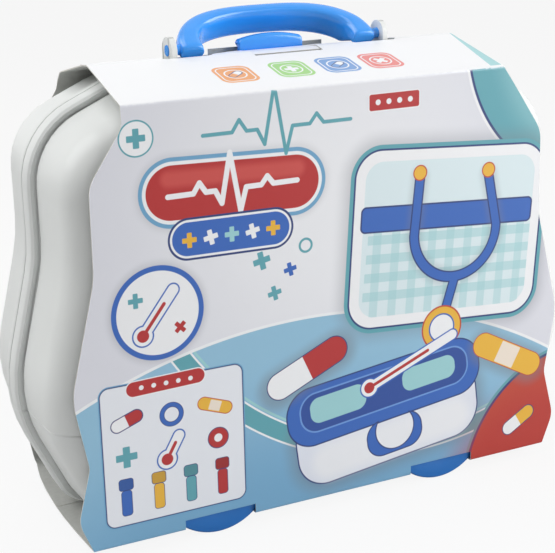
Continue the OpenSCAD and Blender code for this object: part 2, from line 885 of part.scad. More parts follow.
// Folded band in Y and Z: path of outer points, thickness inwards
module band(path, width) {
  rotate([90, 0, 90])
    translate([0, 0, -width / 2])
      linear_extrude(width)
        polygon(path);
}

// The front wrap rises from its fold to a peak, and ends on the ridge behind it
module front_path() {
  h = half_sleeve;
  band([
    [-0.3, sleeve_bottom], [-h, sleeve_bottom], [-h, sleeve_fold], [peak_y, peak_z],
    [ridge_y - 0.1, crown_z + 0.2], [ridge_y - 0.1, crown_z + 0.2 - card],
    [peak_y, peak_z - card], [-h + card, sleeve_fold - card * 0.8],
    [-h + card, sleeve_bottom + card], [-0.3, sleeve_bottom + card]
  ], 260);
}

// The back wrap bends softly round both of its corners
module back_path() {
  ridge = [ridge_y + 0.2, crown_z];
  high = [half_sleeve, sleeve_fold, back_bend];
  low = [half_sleeve, sleeve_bottom, back_bend];
  end = [0.3, sleeve_bottom];
  outer = concat([ridge], corner_arc(ridge, high, low, 0), corner_arc(high, low, end, 0), [end]);
  inner = concat(
    [ridge - [0, card]], corner_arc(ridge, high, low, card), corner_arc(high, low, end, card),
    [end + [0, card]]
  );
  band(concat(outer, [for (i = [len(inner) - 1:-1:0]) inner[i]]), 260);
}

// Bottom panel between two depths
module floor_panel(y0, y1) {
  intersection() {
    translate([0, 0, sleeve_bottom - over])
      linear_extrude(over + card + 0.05)
        polygon(concat(SLEEVE_FLOOR,
          [for (i = [len(SLEEVE_FLOOR) - 1:-1:0]) [-SLEEVE_FLOOR[i][0], SLEEVE_FLOOR[i][1]]]));
    block(-130, 130, y0, y1, 0, sleeve_bottom + 2 * over);
  }
}

// What each wrap keeps: its waved upright panel, its top panel and its bottom panel
module front_trim() {
  plate(SLEEVE, -half_sleeve - over, -half_sleeve + card);
  translate([0, 0, sleeve_fold - 1.2])
    linear_extrude(30)
      polygon([
        [-SLEEVE_LEFT_TOP[0], -half_sleeve - over], [SLEEVE_RIGHT_TOP[0], -half_sleeve - over],
        [ridge_right, ridge_y + over], [-ridge_left, ridge_y + over], [-SLEEVE_LEFT_TOP[0] + 1, peak_y]
      ]);
  floor_panel(-half_sleeve - 0.05, over);
}

module back_trim() {
  plate(SLEEVE_BACK, half_sleeve - back_bend, half_sleeve + over);
  translate([0, 0, sleeve_fold - 1.2])
    linear_extrude(30)
      polygon([
        [ridge_back, -over], [-ridge_back, -over],
        [-SLEEVE_BACK_SIDE[0][0], half_sleeve + over], [SLEEVE_BACK_SIDE[0][0], half_sleeve + over]
      ]);
  floor_panel(-over, half_sleeve - back_bend + 0.05);
}

module bottom_cuts(half) {
  for (side = [-1, 1]) {
    block(side * wheel_x - half, side * wheel_x + half,
      -half_sleeve - over, -half_depth + pocket_depth + wall, 0, notch_top);
    block(side * hinge_x - 17, side * hinge_x + 17, -knuckle_r - 1, over, 0, notch_top);
  }
}

// Notch in the top panel for one handle foot and its bracket
module foot_notch() {
  front = -5;
  translate([0, 0, sleeve_fold])
    linear_extrude(30)
      polygon([
        [-cut_half, ridge_y + over], [-cut_half, front + 2], [-cut_half + 2, front],
        [-38, front], [-20, ridge_y + over]
      ]);
}

module sleeve_front() {
  color(card_white)
    difference() {
      intersection() {
        front_path();
        front_trim();
      }
      bottom_cuts(notch_half);
      foot_notch();
      mirror([1, 0, 0]) foot_notch();
      block(-flap_half - 0.3, flap_half + 0.3, flap_slot, ridge_y + over, sleeve_fold, crown_z + 9);
    }
}

// Tongue of card that lies over the latch and lifts with it
module sleeve_flap() {
  color(card_white)
    block(-flap_half, flap_half, flap_start, ridge_y - 0.1, flap_z, flap_z + card);
}

module sleeve_back() {
  color(card_white)
    difference() {
      intersection() {
        back_path();
        back_trim();
      }
      mirror([0, 1, 0]) bottom_cuts(back_notch_half);
      block(-cut_half, cut_half, 0, ridge_y + 9, sleeve_fold, crown_z + 9);
    }
}

base_shell();
tray_insert();
tray_screws();
hinge_pins();
handle();
hammer_handle();
hammer_head();
otoscope_handle();
otoscope_head();
mirror_handle();
mirror_frame();
mirror_glass();
syringe_barrel();
syringe_plunger();
glasses();
thermometer_yellow();
thermometer_red();
kidney_tray(-1);  // kidney_tray_left
kidney_tray(1);  // kidney_tray_right
wheel(-1, 1);  // wheel_back_left
wheel(1, 1);  // wheel_back_right
hubcap(-1, 1);  // hubcap_back_left
hubcap(1, 1);  // hubcap_back_right
wheel_screws(1);  // wheel_screws_back
sleeve_back();
lid_shell();
latch();
latch_pin();
backdrop_card();
tool_rack();
rack_screws();
scissors_arm(-1);  // scissors_left_arm
scissors_blade(-1);  // scissors_left_blade
scissors_rivet(-1);  // scissors_left_rivet
scissors_arm(1);  // scissors_right_arm
scissors_blade(1);  // scissors_right_blade
scissors_rivet(1);  // scissors_right_rivet
wheel(-1, -1);  // wheel_front_left
wheel(1, -1);  // wheel_front_right
hubcap(-1, -1);  // hubcap_front_left
hubcap(1, -1);  // hubcap_front_right
wheel_screws(-1);  // wheel_screws_front
sleeve_front();
sleeve_flap();
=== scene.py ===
# %% [markdown]
# # A toy doctor case in its printed card sleeve
# The case is two white moulded shells that meet at a raised rim, swing about a hinge along the
# bottom and stand on four blue wheels. A printed card sleeve goes round them. The packed model
# already holds every solid in its place, so this file gives each one its looks: it models the
# visible mouldings and the card again as smooth surfaces, and finishes the rest with materials.

# %% Load the packed model
import json
from math import atan2, ceil, cos, degrees, hypot, pi, radians, sin, tan

import bmesh
import bpy
from mathutils import Matrix, Vector


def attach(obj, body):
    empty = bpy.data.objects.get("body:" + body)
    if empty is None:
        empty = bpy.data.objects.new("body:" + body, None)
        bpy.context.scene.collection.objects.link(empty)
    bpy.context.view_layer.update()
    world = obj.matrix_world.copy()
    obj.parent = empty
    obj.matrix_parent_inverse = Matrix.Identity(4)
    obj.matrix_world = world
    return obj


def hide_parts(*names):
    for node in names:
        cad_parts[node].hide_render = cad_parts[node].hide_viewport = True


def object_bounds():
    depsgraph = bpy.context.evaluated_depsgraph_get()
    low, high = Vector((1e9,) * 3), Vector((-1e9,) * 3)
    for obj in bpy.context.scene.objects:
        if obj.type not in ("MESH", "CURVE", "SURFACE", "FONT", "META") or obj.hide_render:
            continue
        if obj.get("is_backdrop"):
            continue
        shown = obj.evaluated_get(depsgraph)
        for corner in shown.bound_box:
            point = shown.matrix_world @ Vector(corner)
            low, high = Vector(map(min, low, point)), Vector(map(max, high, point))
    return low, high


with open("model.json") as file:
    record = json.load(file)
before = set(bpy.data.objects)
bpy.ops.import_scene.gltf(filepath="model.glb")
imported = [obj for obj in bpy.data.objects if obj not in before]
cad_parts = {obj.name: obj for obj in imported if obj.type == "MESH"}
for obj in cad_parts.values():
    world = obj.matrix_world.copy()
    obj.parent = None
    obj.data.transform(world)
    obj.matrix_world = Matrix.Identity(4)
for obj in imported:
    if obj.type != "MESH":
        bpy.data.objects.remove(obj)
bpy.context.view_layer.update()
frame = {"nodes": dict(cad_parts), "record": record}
MM = 0.001


def plain_box():
    """Lowest and highest corner of the whole object, in metres."""
    return [[round(float(value), 6) for value in corner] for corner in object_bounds()]


# %% [markdown]
# ## A small language for materials
# Every finish here is computed by shader nodes. Nodes are clumsy to write one by one, so a wire
# between two of them is wrapped in a class: adding or multiplying two wires adds the Math node
# that does it, and a pattern reads like ordinary arithmetic.

# %% A wire that can be added, multiplied and compared
class Wire:
    """One output of a node; arithmetic on it adds Math nodes."""

    def __init__(self, finish, socket):
        self.finish = finish
        self.socket = socket

    def math(self, operation, other):
        return self.finish.math(operation, self, other)

    def __add__(self, other):
        return self.math("ADD", other)

    def __sub__(self, other):
        return self.math("SUBTRACT", other)

    def __rsub__(self, other):
        return self.finish.math("SUBTRACT", other, self)

    def __mul__(self, other):
        return self.math("MULTIPLY", other)

    __radd__ = __add__
    __rmul__ = __mul__

    def smaller(self, other):
        return self.math("MINIMUM", other)

    def larger(self, other):
        return self.math("MAXIMUM", other)

    def size(self):
        """The value without its sign."""
        return self.finish.math("ABSOLUTE", self)

    def below(self, edge, soft=0.25):
        """1 where this wire is under the edge and 0 above it, with a soft step between."""
        step = {"clamp": False, "interpolation_type": "SMOOTHSTEP"}
        ends = {"From Min": edge - soft / 2, "From Max": edge + soft / 2, "To Min": 1.0, "To Max": 0.0}
        return self.finish.node("ShaderNodeMapRange", step, {"Value": self, **ends})


print("a wire can be added to, subtracted, multiplied and compared")

# %% [markdown]
# A finish holds one material. One method makes every kind of node, from its type, its settings
# and what goes into its sockets, so a link is made in the same way as a plain value is set.

# %% A finish holds one material and makes its nodes
# The Mix node has sockets for every kind of value, and these are the ones for colours
MIX_FACTOR, MIX_UNDER, MIX_OVER, MIX_RESULT = 0, 6, 7, 2


class Finish:
    """A material built on the Principled shader."""

    def __init__(self, name, colour, roughness, **settings):
        self.material = bpy.data.materials.new(name)
        self.material.use_nodes = True
        self.tree = self.material.node_tree
        self.shader = self.tree.nodes["Principled BSDF"]
        self.set("Base Color", (*colour, 1.0))
        self.set("Roughness", roughness)
        for socket, value in settings.items():
            self.set(socket.replace("_", " "), value)

    def set(self, socket, value):
        self.feed(self.shader.inputs[socket], value)

    def feed(self, socket, value):
        if isinstance(value, Wire):
            self.tree.links.new(value.socket, socket)
        else:
            socket.default_value = value

    def node(self, kind, settings=None, inputs=None, output=0):
        """Makes a node and gives the wire that comes out of it."""
        made = self.tree.nodes.new(kind)
        for key, value in (settings or {}).items():
            setattr(made, key, value)
        for key, value in (inputs or {}).items():
            self.feed(made.inputs[key], value)
        return Wire(self, made.outputs[output])

    def math(self, operation, *values):
        return self.node("ShaderNodeMath", {"operation": operation}, dict(enumerate(values)))

    def vector(self, operation, *values, output=0):
        return self.node("ShaderNodeVectorMath", {"operation": operation}, dict(enumerate(values)),
                         output)

    def place(self):
        """The place of each point on the object, in metres."""
        return self.node("ShaderNodeTexCoord", output="Object")

    def part_of(self, vector, index):
        return self.node("ShaderNodeSeparateXYZ", None, {"Vector": vector}, index)

    def mix(self, mask, under, over):
        """One colour over another, where the mask is 1."""
        return self.node("ShaderNodeMix", {"data_type": "RGBA"},
                         {MIX_FACTOR: mask, MIX_UNDER: under, MIX_OVER: over}, MIX_RESULT)

    def noise(self, place, scale, detail=2.0):
        return self.node("ShaderNodeTexNoise", None, {"Vector": place, "Scale": scale, "Detail": detail})

    def bump(self, height, strength, distance):
        parts = {"Height": height, "Strength": strength, "Distance": distance}
        self.set("Normal", self.node("ShaderNodeBump", None, parts))


def tint(colour, factor):
    """A paler or darker form of a colour, with its alpha."""
    return (*[min(1.0, channel * factor) for channel in colour], 1.0)


print("a finish sets", ", ".join(name for name in vars(Finish) if not name.startswith("_")))

# %% [markdown]
# ## Moulded plastic
# Toy plastic is glossy, but never a perfect mirror: the mould leaves faint flow patches in its
# colour, very shallow waves in its surface, and a fine haze of scratches that makes some areas
# duller. Three noise patterns of different scales give those three things.

# %% Moulded plastics
# Patches to the metre, for the flow in the colour, the haze of scratches and the shallow waves
FLOW_SCALE, HAZE_SCALE, WAVE_SCALE = 22.0, 160.0, 55.0
WAVE_HEIGHT, HAZE_DEPTH = 0.05, 0.12
# Tints of the flow patches, and the tint of the painted shade in the seams
DARK_FLOW, PALE_FLOW, SHADE_TINT = 0.94, 1.05, 0.4


def moulded(name, colour, roughness=0.28, coat=0.25, relief=None, painted_shade=None):
    """Toy plastic; relief adds to its bump, and the shade mask darkens it with painted shade, where they
    are given.
    """
    finish = Finish(name, colour, roughness, Coat_Weight=coat, Coat_Roughness=0.12,
                    Specular_IOR_Level=0.5)
    place = finish.place()
    flow = finish.noise(place, FLOW_SCALE)
    haze = finish.noise(place, HAZE_SCALE, 4.0)
    height = finish.noise(place, WAVE_SCALE, 1.0) * WAVE_HEIGHT
    if relief:
        height = height + relief(finish, place)
    shade = finish.mix(flow, tint(colour, DARK_FLOW), tint(colour, PALE_FLOW))
    # Painted shade: the colour is darkened where the mask is 1
    if painted_shade:
        shade = finish.mix(painted_shade(finish, place), shade, tint(colour, SHADE_TINT))
    finish.set("Base Color", shade)
    finish.set("Roughness", roughness + (haze - 0.5) * HAZE_DEPTH)
    finish.bump(height, 1.0, MM)
    return finish.material


print("patches, specks and waves to the metre", (FLOW_SCALE, HAZE_SCALE, WAVE_SCALE))

# %% [markdown]
# The white shells need two things more. A faint moulded step runs round both of them where their
# sides are widest, and outside, painted shade darkens the parting line and the foot of each rim,
# as if those crevices lay in shade. Both follow the shells' own measures, so they are masks made
# from the place of each point.

# %% The hip line of the shells, and the painted shade in their seams
# Height of the step, where it starts at the sides, how fast it rises and fades, and how far it rises
HIP_LINE, HIP_START, HIP_EDGE, HIP_FADE, HIP_RISE = 0.0612, 0.118, 0.0013, 0.008, 0.8
# Depths of the seams, how far the painted shade reaches from each and fades, and how dark it is
SEAMS, SHADE_REACH, SHADE_FADE, SHADE_STRENGTH = (0.0, 0.007, -0.009), 0.0005, 0.0006, 0.75
SHELL_MIDDLE = 0.11


def hip_crease(finish, place):
    """A faint moulded step round both shells where their sides are widest."""
    across = finish.part_of(place, 0).size()
    height = finish.part_of(place, 2)
    step = (height - HIP_LINE).below(0.0, HIP_EDGE)
    return step * (HIP_START - across).below(0.0, HIP_FADE) * HIP_RISE


def seam_shade(finish, place):
    """Painted shade near the seams, on the faces that look away from the shells' middle."""
    depth = finish.part_of(place, 1)
    near = [(depth - seam).size().below(SHADE_REACH, SHADE_FADE) for seam in SEAMS]
    outward = finish.node("ShaderNodeNewGeometry", output="Normal")
    spoke = finish.vector("MULTIPLY_ADD", place, (1.0, 0.0, 1.0), (0.0, 0.0, -SHELL_MIDDLE))
    inside = finish.vector("DOT_PRODUCT", outward, spoke, output=1).below(0.02, 0.02)
    return near[0].larger(near[1]).larger(near[2]) * (1.0 - inside) * SHADE_STRENGTH


# The white shells get painted shade in their seams
white = moulded("white shell plastic", (0.82, 0.84, 0.825), 0.40, 0.1, hip_crease, seam_shade)
blue = moulded("azure toy plastic", (0.03, 0.33, 0.96), 0.22, 0.4)
deep_blue = moulded("deep blue toy plastic", (0.03, 0.15, 0.60))
wheel_blue = moulded("blue wheel plastic", (0.01, 0.16, 0.52), 0.34, 0.1)
yellow = moulded("yellow toy plastic", (0.93, 0.52, 0.03))
red = moulded("red toy plastic", (0.62, 0.035, 0.03))
teal = moulded("teal toy plastic", (0.22, 0.60, 0.60))
print("plastics", [m.name for m in (white, blue, deep_blue, wheel_blue, yellow, red, teal)])

# %% [markdown]
# Screws, pins and rivets are plain steel, and the dentist's mirror has a bright foil. Both are
# metal, so they differ only in colour, roughness and the scale of their grain.

# %% Steel and mirror foil
def metal(name, colour, roughness, grains):
    """Metal with a fine grain; grains is their number to the metre."""
    finish = Finish(name, colour, roughness, Metallic=1.0)
    place = finish.place()
    grain = finish.noise(place, grains, 3.0)
    finish.set("Roughness", roughness + (grain - 0.5) * 0.15)
    finish.set("Base Color", finish.mix(grain, tint(colour, 0.9), tint(colour, 1.08)))
    return finish.material


steel = metal("screw steel", (0.55, 0.55, 0.57), 0.32, 900.0)
foil = metal("mirror foil", (0.86, 0.88, 0.9), 0.05, 60.0)
print("metals", steel.name, "and", foil.name)

# %% [markdown]
# ## The print on the card
# On the real sleeve all the artwork is one flat sheet, printed before the card is folded. The
# same is done here: the card's UV map is each point's place on the flat sheet, and the print is a
# list of plain shapes painted one over another, in millimetres. Each shape is a distance field,
# which is 0 on its outline and negative inside, so every edge stays sharp at any size.
# The motifs are generic ones of a toy hospital kit: a pulse line, a stethoscope, capsules.
# Their places and sizes are plain numbers, because they are a drawing: millimetres to the right
# of the sheet's middle, millimetres up, half widths, radii, and turns in degrees.

# %% Colours as they are seen, turned into light for the shader
def seen(*shown):
    """A colour from 0 to 255 as the screen shows it, as the shader counts it."""
    return tuple(((channel / 255 + 0.055) / 1.055) ** 2.4 for channel in shown)


PAPER = seen(226, 227, 235)
CLEAN = seen(247, 248, 250)
SKY = seen(150, 196, 222)
SKY_DARK = seen(112, 168, 206)
AQUA = seen(96, 168, 180)
AQUA_LIGHT = seen(160, 212, 216)
NAVY = seen(38, 60, 120)
INK_BLUE = seen(52, 104, 190)
INK_RED = seen(186, 44, 44)
ORANGE_RED = seen(196, 72, 50)
SUN = seen(240, 186, 60)
GREY = seen(120, 124, 132)
print("the paper's colour in the shader", [round(channel, 3) for channel in PAPER])

# %% [markdown]
# A rounded box is the one shape behind most others: with a corner radius of half its height it is
# a capsule or a line, and turned it is a plaster. Discs, rings and half planes make up the rest,
# and the smaller or the larger of two distances joins two shapes or keeps what they share.

# %% Shapes painted on the flat sheet
class Print:
    """Flat shapes painted one over another, in millimetres on the sheet."""

    def __init__(self, finish, ground):
        self.finish = finish
        metres = finish.node("ShaderNodeUVMap", {"uv_map": "sheet"})
        self.sheet = finish.vector("MULTIPLY", metres, (1000.0, 1000.0, 0.0))
        self.colour = finish.mix(0.0, (*ground, 1.0), (*ground, 1.0))
        self.count = 0

    def box(self, x, z, half_w, half_h, corner, turn=0.0):
        """Distance to a box with rounded corners, turned about its middle."""
        finish = self.finish
        local = finish.vector("SUBTRACT", self.sheet, (x, z, 0.0))
        if turn:
            run, rise = cos(radians(turn)), sin(radians(turn))
            along = finish.vector("DOT_PRODUCT", local, (run, rise, 0.0), output=1)
            across = finish.vector("DOT_PRODUCT", local, (-rise, run, 0.0), output=1)
            local = finish.node("ShaderNodeCombineXYZ", None, {"X": along, "Y": across})
        far = finish.vector("ABSOLUTE", local)
        past = finish.vector("SUBTRACT", far, (half_w - corner, half_h - corner, 0.0))
        outside = finish.vector("MAXIMUM", past, (0.0, 0.0, 0.0))
        return finish.vector("LENGTH", outside, output=1) - corner

    def disc(self, x, z, radius):
        return self.finish.vector("DISTANCE", self.sheet, (x, z, 0.0), output=1) - radius

    def ring(self, x, z, radius, width):
        return self.disc(x, z, radius).size() - width / 2

    def line(self, start, end, width):
        run, rise = end[0] - start[0], end[1] - start[1]
        return self.box((start[0] + end[0]) / 2, (start[1] + end[1]) / 2,
                        hypot(run, rise) / 2 + width / 2, width / 2, width / 2,
                        degrees(atan2(rise, run)))

    def side(self, x, z, turn):
        """Distance past a straight line through x, z; negative on its left-hand side."""
        way = (sin(radians(turn)), -cos(radians(turn)), 0.0)
        from_line = self.finish.vector("SUBTRACT", self.sheet, (x, z, 0.0))
        return self.finish.vector("DOT_PRODUCT", from_line, way, output=1)

    def paint(self, distance, colour, soft=0.3, strength=1.0):
        """Paints a colour where the distance is under 0; soft is the width of its edge."""
        mask = distance.below(0.0, soft)
        if strength < 1.0:
            mask = mask * strength
        self.colour = self.finish.mix(mask, self.colour, (*colour, 1.0))
        self.count += 1

    def outlined(self, shape, colour, *borders):
        """A shape with borders round it, given as widths and colours from the outside in."""
        for width, border in borders:
            self.paint(shape - width, border)
        self.paint(shape, colour)

    def shadow(self, shape, reach, strength):
        """A soft grey shade that reaches past a shape."""
        self.paint(shape - reach / 3, GREY, reach, strength)


print("shapes to print", ", ".join(name for name in vars(Print) if not name.startswith("_")))

# %% [markdown]
# Five small motifs are used again and again, at several sizes and turns, so each is a function.

# %% Small motifs that the print uses more than once
def plus(sheet, x, z, size, colour, turn=0.0):
    """A cross with four equal arms."""
    flat_bar = sheet.box(x, z, size, size / 3, 0.4, turn)
    tall_bar = sheet.box(x, z, size / 3, size, 0.4, turn)
    sheet.paint(flat_bar.smaller(tall_bar), colour)


def capsule(sheet, x, z, length, width, turn, ends=(INK_RED, CLEAN)):
    """A pill of two halves, each in its own colour."""
    whole = sheet.box(x, z, length / 2, width / 2, width / 2, turn)
    sheet.outlined(whole, ends[0], (0.5, NAVY))
    half = whole.larger(sheet.side(x, z, turn + 90.0))
    sheet.paint(half, ends[1])


def pulse(sheet, x, z, scale, width, colour):
    """A heartbeat line that runs to the right from x, z."""
    beat = [(0, 0), (8, 0), (10, 3), (12, 0), (15, 0), (17, -4), (20, 11), (23, -7), (25, 0), (30, 0),
            (32, 2.5), (34, 0), (42, 0)]
    points = [(x + scale * px, z + scale * pz) for px, pz in beat]
    trace = sheet.line(points[0], points[1], width)
    for start, end in zip(points[1:], points[2:]):
        trace = trace.smaller(sheet.line(start, end, width))
    sheet.paint(trace, colour)


def plaster(sheet, x, z, length, width, turn):
    """A strip of sticking plaster with its pale pad."""
    strip = sheet.box(x, z, length / 2, width / 2, width / 2, turn)
    sheet.outlined(strip, SUN, (0.4, ORANGE_RED))
    sheet.paint(sheet.box(x, z, width / 2, width / 2 - 0.4, 0.4, turn), CLEAN, strength=0.7)


def thermometer(sheet, x, z, length, turn):
    """A glass tube with a bulb at its lower left end and a red thread."""
    along = Vector((cos(radians(turn)), sin(radians(turn))))
    low = (x - along.x * length / 2, z - along.y * length / 2)
    high = (x + along.x * length / 2, z + along.y * length / 2)
    middle = (x + along.x * length / 5, z + along.y * length / 5)
    outline = sheet.line(low, high, 5.0).smaller(sheet.disc(*low, 4.4))
    sheet.outlined(outline, CLEAN, (0.7, INK_BLUE))
    sheet.paint(sheet.line(low, middle, 1.6).smaller(sheet.disc(*low, 2.8)), INK_RED)


print("motifs", ", ".join(motif.__name__ for motif in (plus, capsule, pulse, plaster, thermometer)))

# %% [markdown]
# The front of the sleeve has a pale ground, a blue field below, an aqua corner with a navy line at
# the top right and a red-orange corner at the bottom right. On them lie a red and a blue title
# shape, a white board with a stethoscope, an open tray with loose toys, and a white panel with
# small ones.

# %% The grounds of the front
# Height of the fold above the front, and middle and radius of the blue field
FOLD = 203.5
FIELD = (-15.0, -165.0, 262.0)


def paint_grounds(sheet):
    """The blue field, its aqua bands and the two corners."""
    x, z, radius = FIELD
    sheet.paint(sheet.disc(-5, 150, 70), CLEAN, 110.0, 0.75)
    field = sheet.disc(x, z, radius)
    sheet.paint(field - 1.4, CLEAN)
    sheet.paint(field, SKY)
    sheet.paint(sheet.disc(x, z - 45, radius), SKY_DARK, 70.0, 0.8)
    band = sheet.ring(48, 172, 149, 8.0).larger(field)
    sheet.outlined(band, AQUA, (0.9, CLEAN))
    sheet.paint(sheet.ring(48, 172, 143, 1.2).larger(field), AQUA_LIGHT)
    corner = sheet.disc(143, 218, 71)
    sheet.outlined(corner, AQUA, (2.6, CLEAN), (1.3, NAVY))
    sheet.paint(sheet.disc(150, 214, 58), AQUA_LIGHT, 22.0, 0.6)
    wedge = sheet.disc(139, -8, 64)
    sheet.outlined(wedge, ORANGE_RED, (3.0, AQUA), (1.4, NAVY))
    sheet.paint(sheet.disc(120, -22, 60), INK_RED, 26.0, 0.6)


print("the blue field reaches up to", FIELD[1] + FIELD[2], "mm")

# %% The title shapes and the board with its stethoscope
BOARD_TURN = -4.0
TRAY_TURN = 7.0


def paint_title(sheet):
    """A red shape with a pulse line, a blue one with small signs, and a round sign."""
    capsule_red = sheet.box(-48, 163, 41, 12, 12, -2.0)
    sheet.shadow(capsule_red, 9.0, 0.45)
    sheet.outlined(capsule_red, INK_RED, (3.4, SKY_DARK), (1.6, CLEAN))
    sheet.paint(sheet.box(-48, 169, 34, 3.5, 3.5, -2.0), seen(222, 96, 88), 4.0, 0.55)
    pulse(sheet, -79, 162.5, 1.46, 2.4, CLEAN)
    capsule_blue = sheet.box(-50, 142.5, 28, 7.5, 7.5, -1.0)
    sheet.outlined(capsule_blue, INK_BLUE, (2.0, NAVY), (1.0, CLEAN))
    for index, colour in enumerate((SUN, CLEAN, AQUA_LIGHT, CLEAN, SUN)):
        plus(sheet, -70 + 10 * index, 142.3, 3.4, colour, 12.0 * (index % 2))
    pulse(sheet, -62, 187, 1.7, 1.7, AQUA)
    sheet.outlined(sheet.disc(-92, 189, 6.8), CLEAN, (1.1, AQUA), (0.4, CLEAN))
    plus(sheet, -92, 189, 4.2, AQUA)
    label = sheet.box(32, 193, 13, 3.7, 1.0)
    sheet.outlined(label, INK_RED, (0.5, CLEAN))
    for index in range(4):
        sheet.paint(sheet.disc(23.5 + 5.6 * index, 193, 1.3), CLEAN)


def paint_board(sheet):
    """A tilted white board with a faint grid and a blue shelf."""
    board = sheet.box(62, 126, 52, 42, 13, BOARD_TURN)
    sheet.shadow(board, 14.0, 0.5)
    sheet.outlined(board, CLEAN, (2.8, AQUA), (0.9, NAVY))
    sheet.paint(sheet.box(62, 126, 47, 37, 9, BOARD_TURN), seen(224, 240, 244))
    for row in range(4):
        stripe = sheet.box(62 + row, 99 + 9 * row, 47, 2.2, 0.3, BOARD_TURN)
        sheet.paint(stripe.larger(board + 5.0), AQUA_LIGHT, strength=0.55)
    for column in range(9):
        stripe = sheet.box(22 + 10 * column, 113 - 0.7 * column, 2.2, 22, 0.3, BOARD_TURN)
        sheet.paint(stripe.larger(board + 5.0), AQUA_LIGHT, strength=0.45)
    shelf = sheet.box(62, 136, 47, 5.5, 2.0, BOARD_TURN)
    sheet.outlined(shelf, INK_BLUE, (0.8, NAVY))


def paint_stethoscope(sheet):
    """A half ring of tube with two arms, two ear tips and a round chest piece."""
    tube = sheet.ring(66, 128, 23, 4.2).larger(sheet.side(66, 128, 180.0))
    arms = sheet.line((43, 128), (46, 156), 4.2).smaller(sheet.line((89, 128), (84, 153), 4.2))
    stem = sheet.line((66, 105), (60, 86), 4.2)
    whole = tube.smaller(arms).smaller(stem)
    sheet.shadow(whole, 6.0, 0.35)
    sheet.outlined(whole, INK_BLUE, (0.7, NAVY))
    for x, z in ((46, 158), (84, 155)):
        sheet.outlined(sheet.disc(x, z, 3.2), SUN, (0.6, ORANGE_RED))
    sheet.outlined(sheet.disc(59, 80, 10.5), SUN, (0.8, ORANGE_RED))
    sheet.outlined(sheet.disc(59, 80, 6.5), CLEAN, (0.8, INK_BLUE))


print("the board is turned", BOARD_TURN, "degrees and the tray", TRAY_TURN)

# %% The open tray and the loose toys
def paint_open_tray(sheet):
    """A white tray with a blue rim that the loose toys lie over."""
    body = sheet.box(30, 36, 50, 19, 15, TRAY_TURN)
    sheet.shadow(body, 12.0, 0.55)
    sheet.outlined(body, seen(232, 236, 246), (0.7, NAVY))
    sheet.paint(sheet.box(32, 28, 44, 9, 9, TRAY_TURN), CLEAN, 9.0, 0.8)
    rim = sheet.box(28, 53, 53, 14.5, 13, TRAY_TURN)
    sheet.outlined(rim, INK_BLUE, (0.7, NAVY))
    hollow = sheet.box(28, 54.5, 46, 9.5, 8.5, TRAY_TURN)
    sheet.outlined(hollow, seen(40, 78, 158), (0.8, seen(112, 158, 222)))
    sheet.paint(sheet.box(2, 52, 15, 6.5, 5, TRAY_TURN), AQUA_LIGHT)
    sheet.paint(sheet.box(52, 58, 15, 6.0, 5, TRAY_TURN), AQUA_LIGHT)
    clasp = sheet.box(33, 30, 15, 9, 8, TRAY_TURN).larger(4.5 - sheet.disc(33, 33, 6.5))
    sheet.outlined(clasp, INK_BLUE, (0.6, NAVY))


def paint_loose_toys(sheet):
    """A capsule, a plaster and a thermometer over the tray, small signs, and a round badge."""
    for shape in (sheet.box(-14, 72, 24, 7, 7, 24.0), sheet.box(98, 58, 22, 6.5, 6.5, -28.0)):
        sheet.shadow(shape, 8.0, 0.5)
    capsule(sheet, -14, 73, 44, 13, 24.0)
    plaster(sheet, 98, 59, 44, 12, -28.0)
    thermometer(sheet, 42, 66, 50, 22.0)
    for x, z, size, colour in ((-36, 128, 4.2, AQUA), (-22, 122, 3.2, INK_BLUE), (-30, 112, 3.4, AQUA)):
        plus(sheet, x, z, size, colour, 12.0)
    sheet.paint(sheet.ring(-14, 132, 3.0, 1.1), AQUA)
    badge = sheet.disc(-86, 112, 19)
    sheet.shadow(badge, 8.0, 0.5)
    sheet.outlined(badge, CLEAN, (2.4, INK_BLUE))
    thermometer(sheet, -86, 112, 24, 52.0)
    plus(sheet, -96, 119, 3.4, AQUA)
    plus(sheet, -76, 104, 3.0, INK_RED, 45.0)
    capsule(sheet, 106, 22, 20, 7, 30.0, (SUN, CLEAN))


def paint_fittings(sheet):
    """A white panel that shows small toys in three rows."""
    panel = sheet.box(-81, 48.5, 33.6, 33.0, 4.0)
    sheet.outlined(panel, seen(238, 241, 247), (1.0, SKY_DARK), (0.5, NAVY))
    pill = sheet.box(-84, 79.5, 18.5, 3.4, 3.4, 1.5)
    sheet.outlined(pill, INK_RED, (0.5, CLEAN))
    for index in range(5):
        sheet.paint(sheet.disc(-95.5 + 5.8 * index, 79.3, 1.1), CLEAN)
    capsule(sheet, -103, 65, 15, 5.6, 20.0)
    sheet.outlined(sheet.ring(-82, 64, 4.6, 1.8), INK_BLUE, (0.3, NAVY))
    plaster(sheet, -61, 64, 17, 5.6, -20.0)
    plus(sheet, -104, 48, 5.0, AQUA)
    thermometer(sheet, -82, 48, 12, 60.0)
    sheet.outlined(sheet.disc(-60, 48, 4.8), INK_RED, (0.4, NAVY))
    sheet.outlined(sheet.disc(-60, 48, 2.0), CLEAN)
    for index, colour in enumerate((INK_BLUE, SUN, AQUA, INK_RED)):
        x = -105 + 15.5 * index
        sheet.outlined(sheet.box(x, 26, 2.3, 6.0, 1.4), colour, (0.3, NAVY))
        sheet.outlined(sheet.box(x, 35, 3.2, 2.6, 1.2), tint(colour, 0.7)[:3], (0.3, NAVY))


print("the front has a board, a stethoscope, a tray with loose toys, and a panel of fittings")

# %% [markdown]
# The top panel stays almost white, with four badges and a pale stripe. Past the fold the print
# runs on without a break, as it does on folded card. The back has a plainer print: the same field,
# a red shape with a pulse line, and a panel of capsules, crosses and plasters.

# %% The designs of the top and the back, and all painters of one sheet
# Place across and colour of each badge, and its place up the sheet
BADGES = ((-36.5, seen(236, 160, 92)), (-9.0, seen(158, 214, 124)),
          (14.5, seen(112, 158, 216)), (37.0, seen(232, 128, 124)))
BADGE_V = 225.0


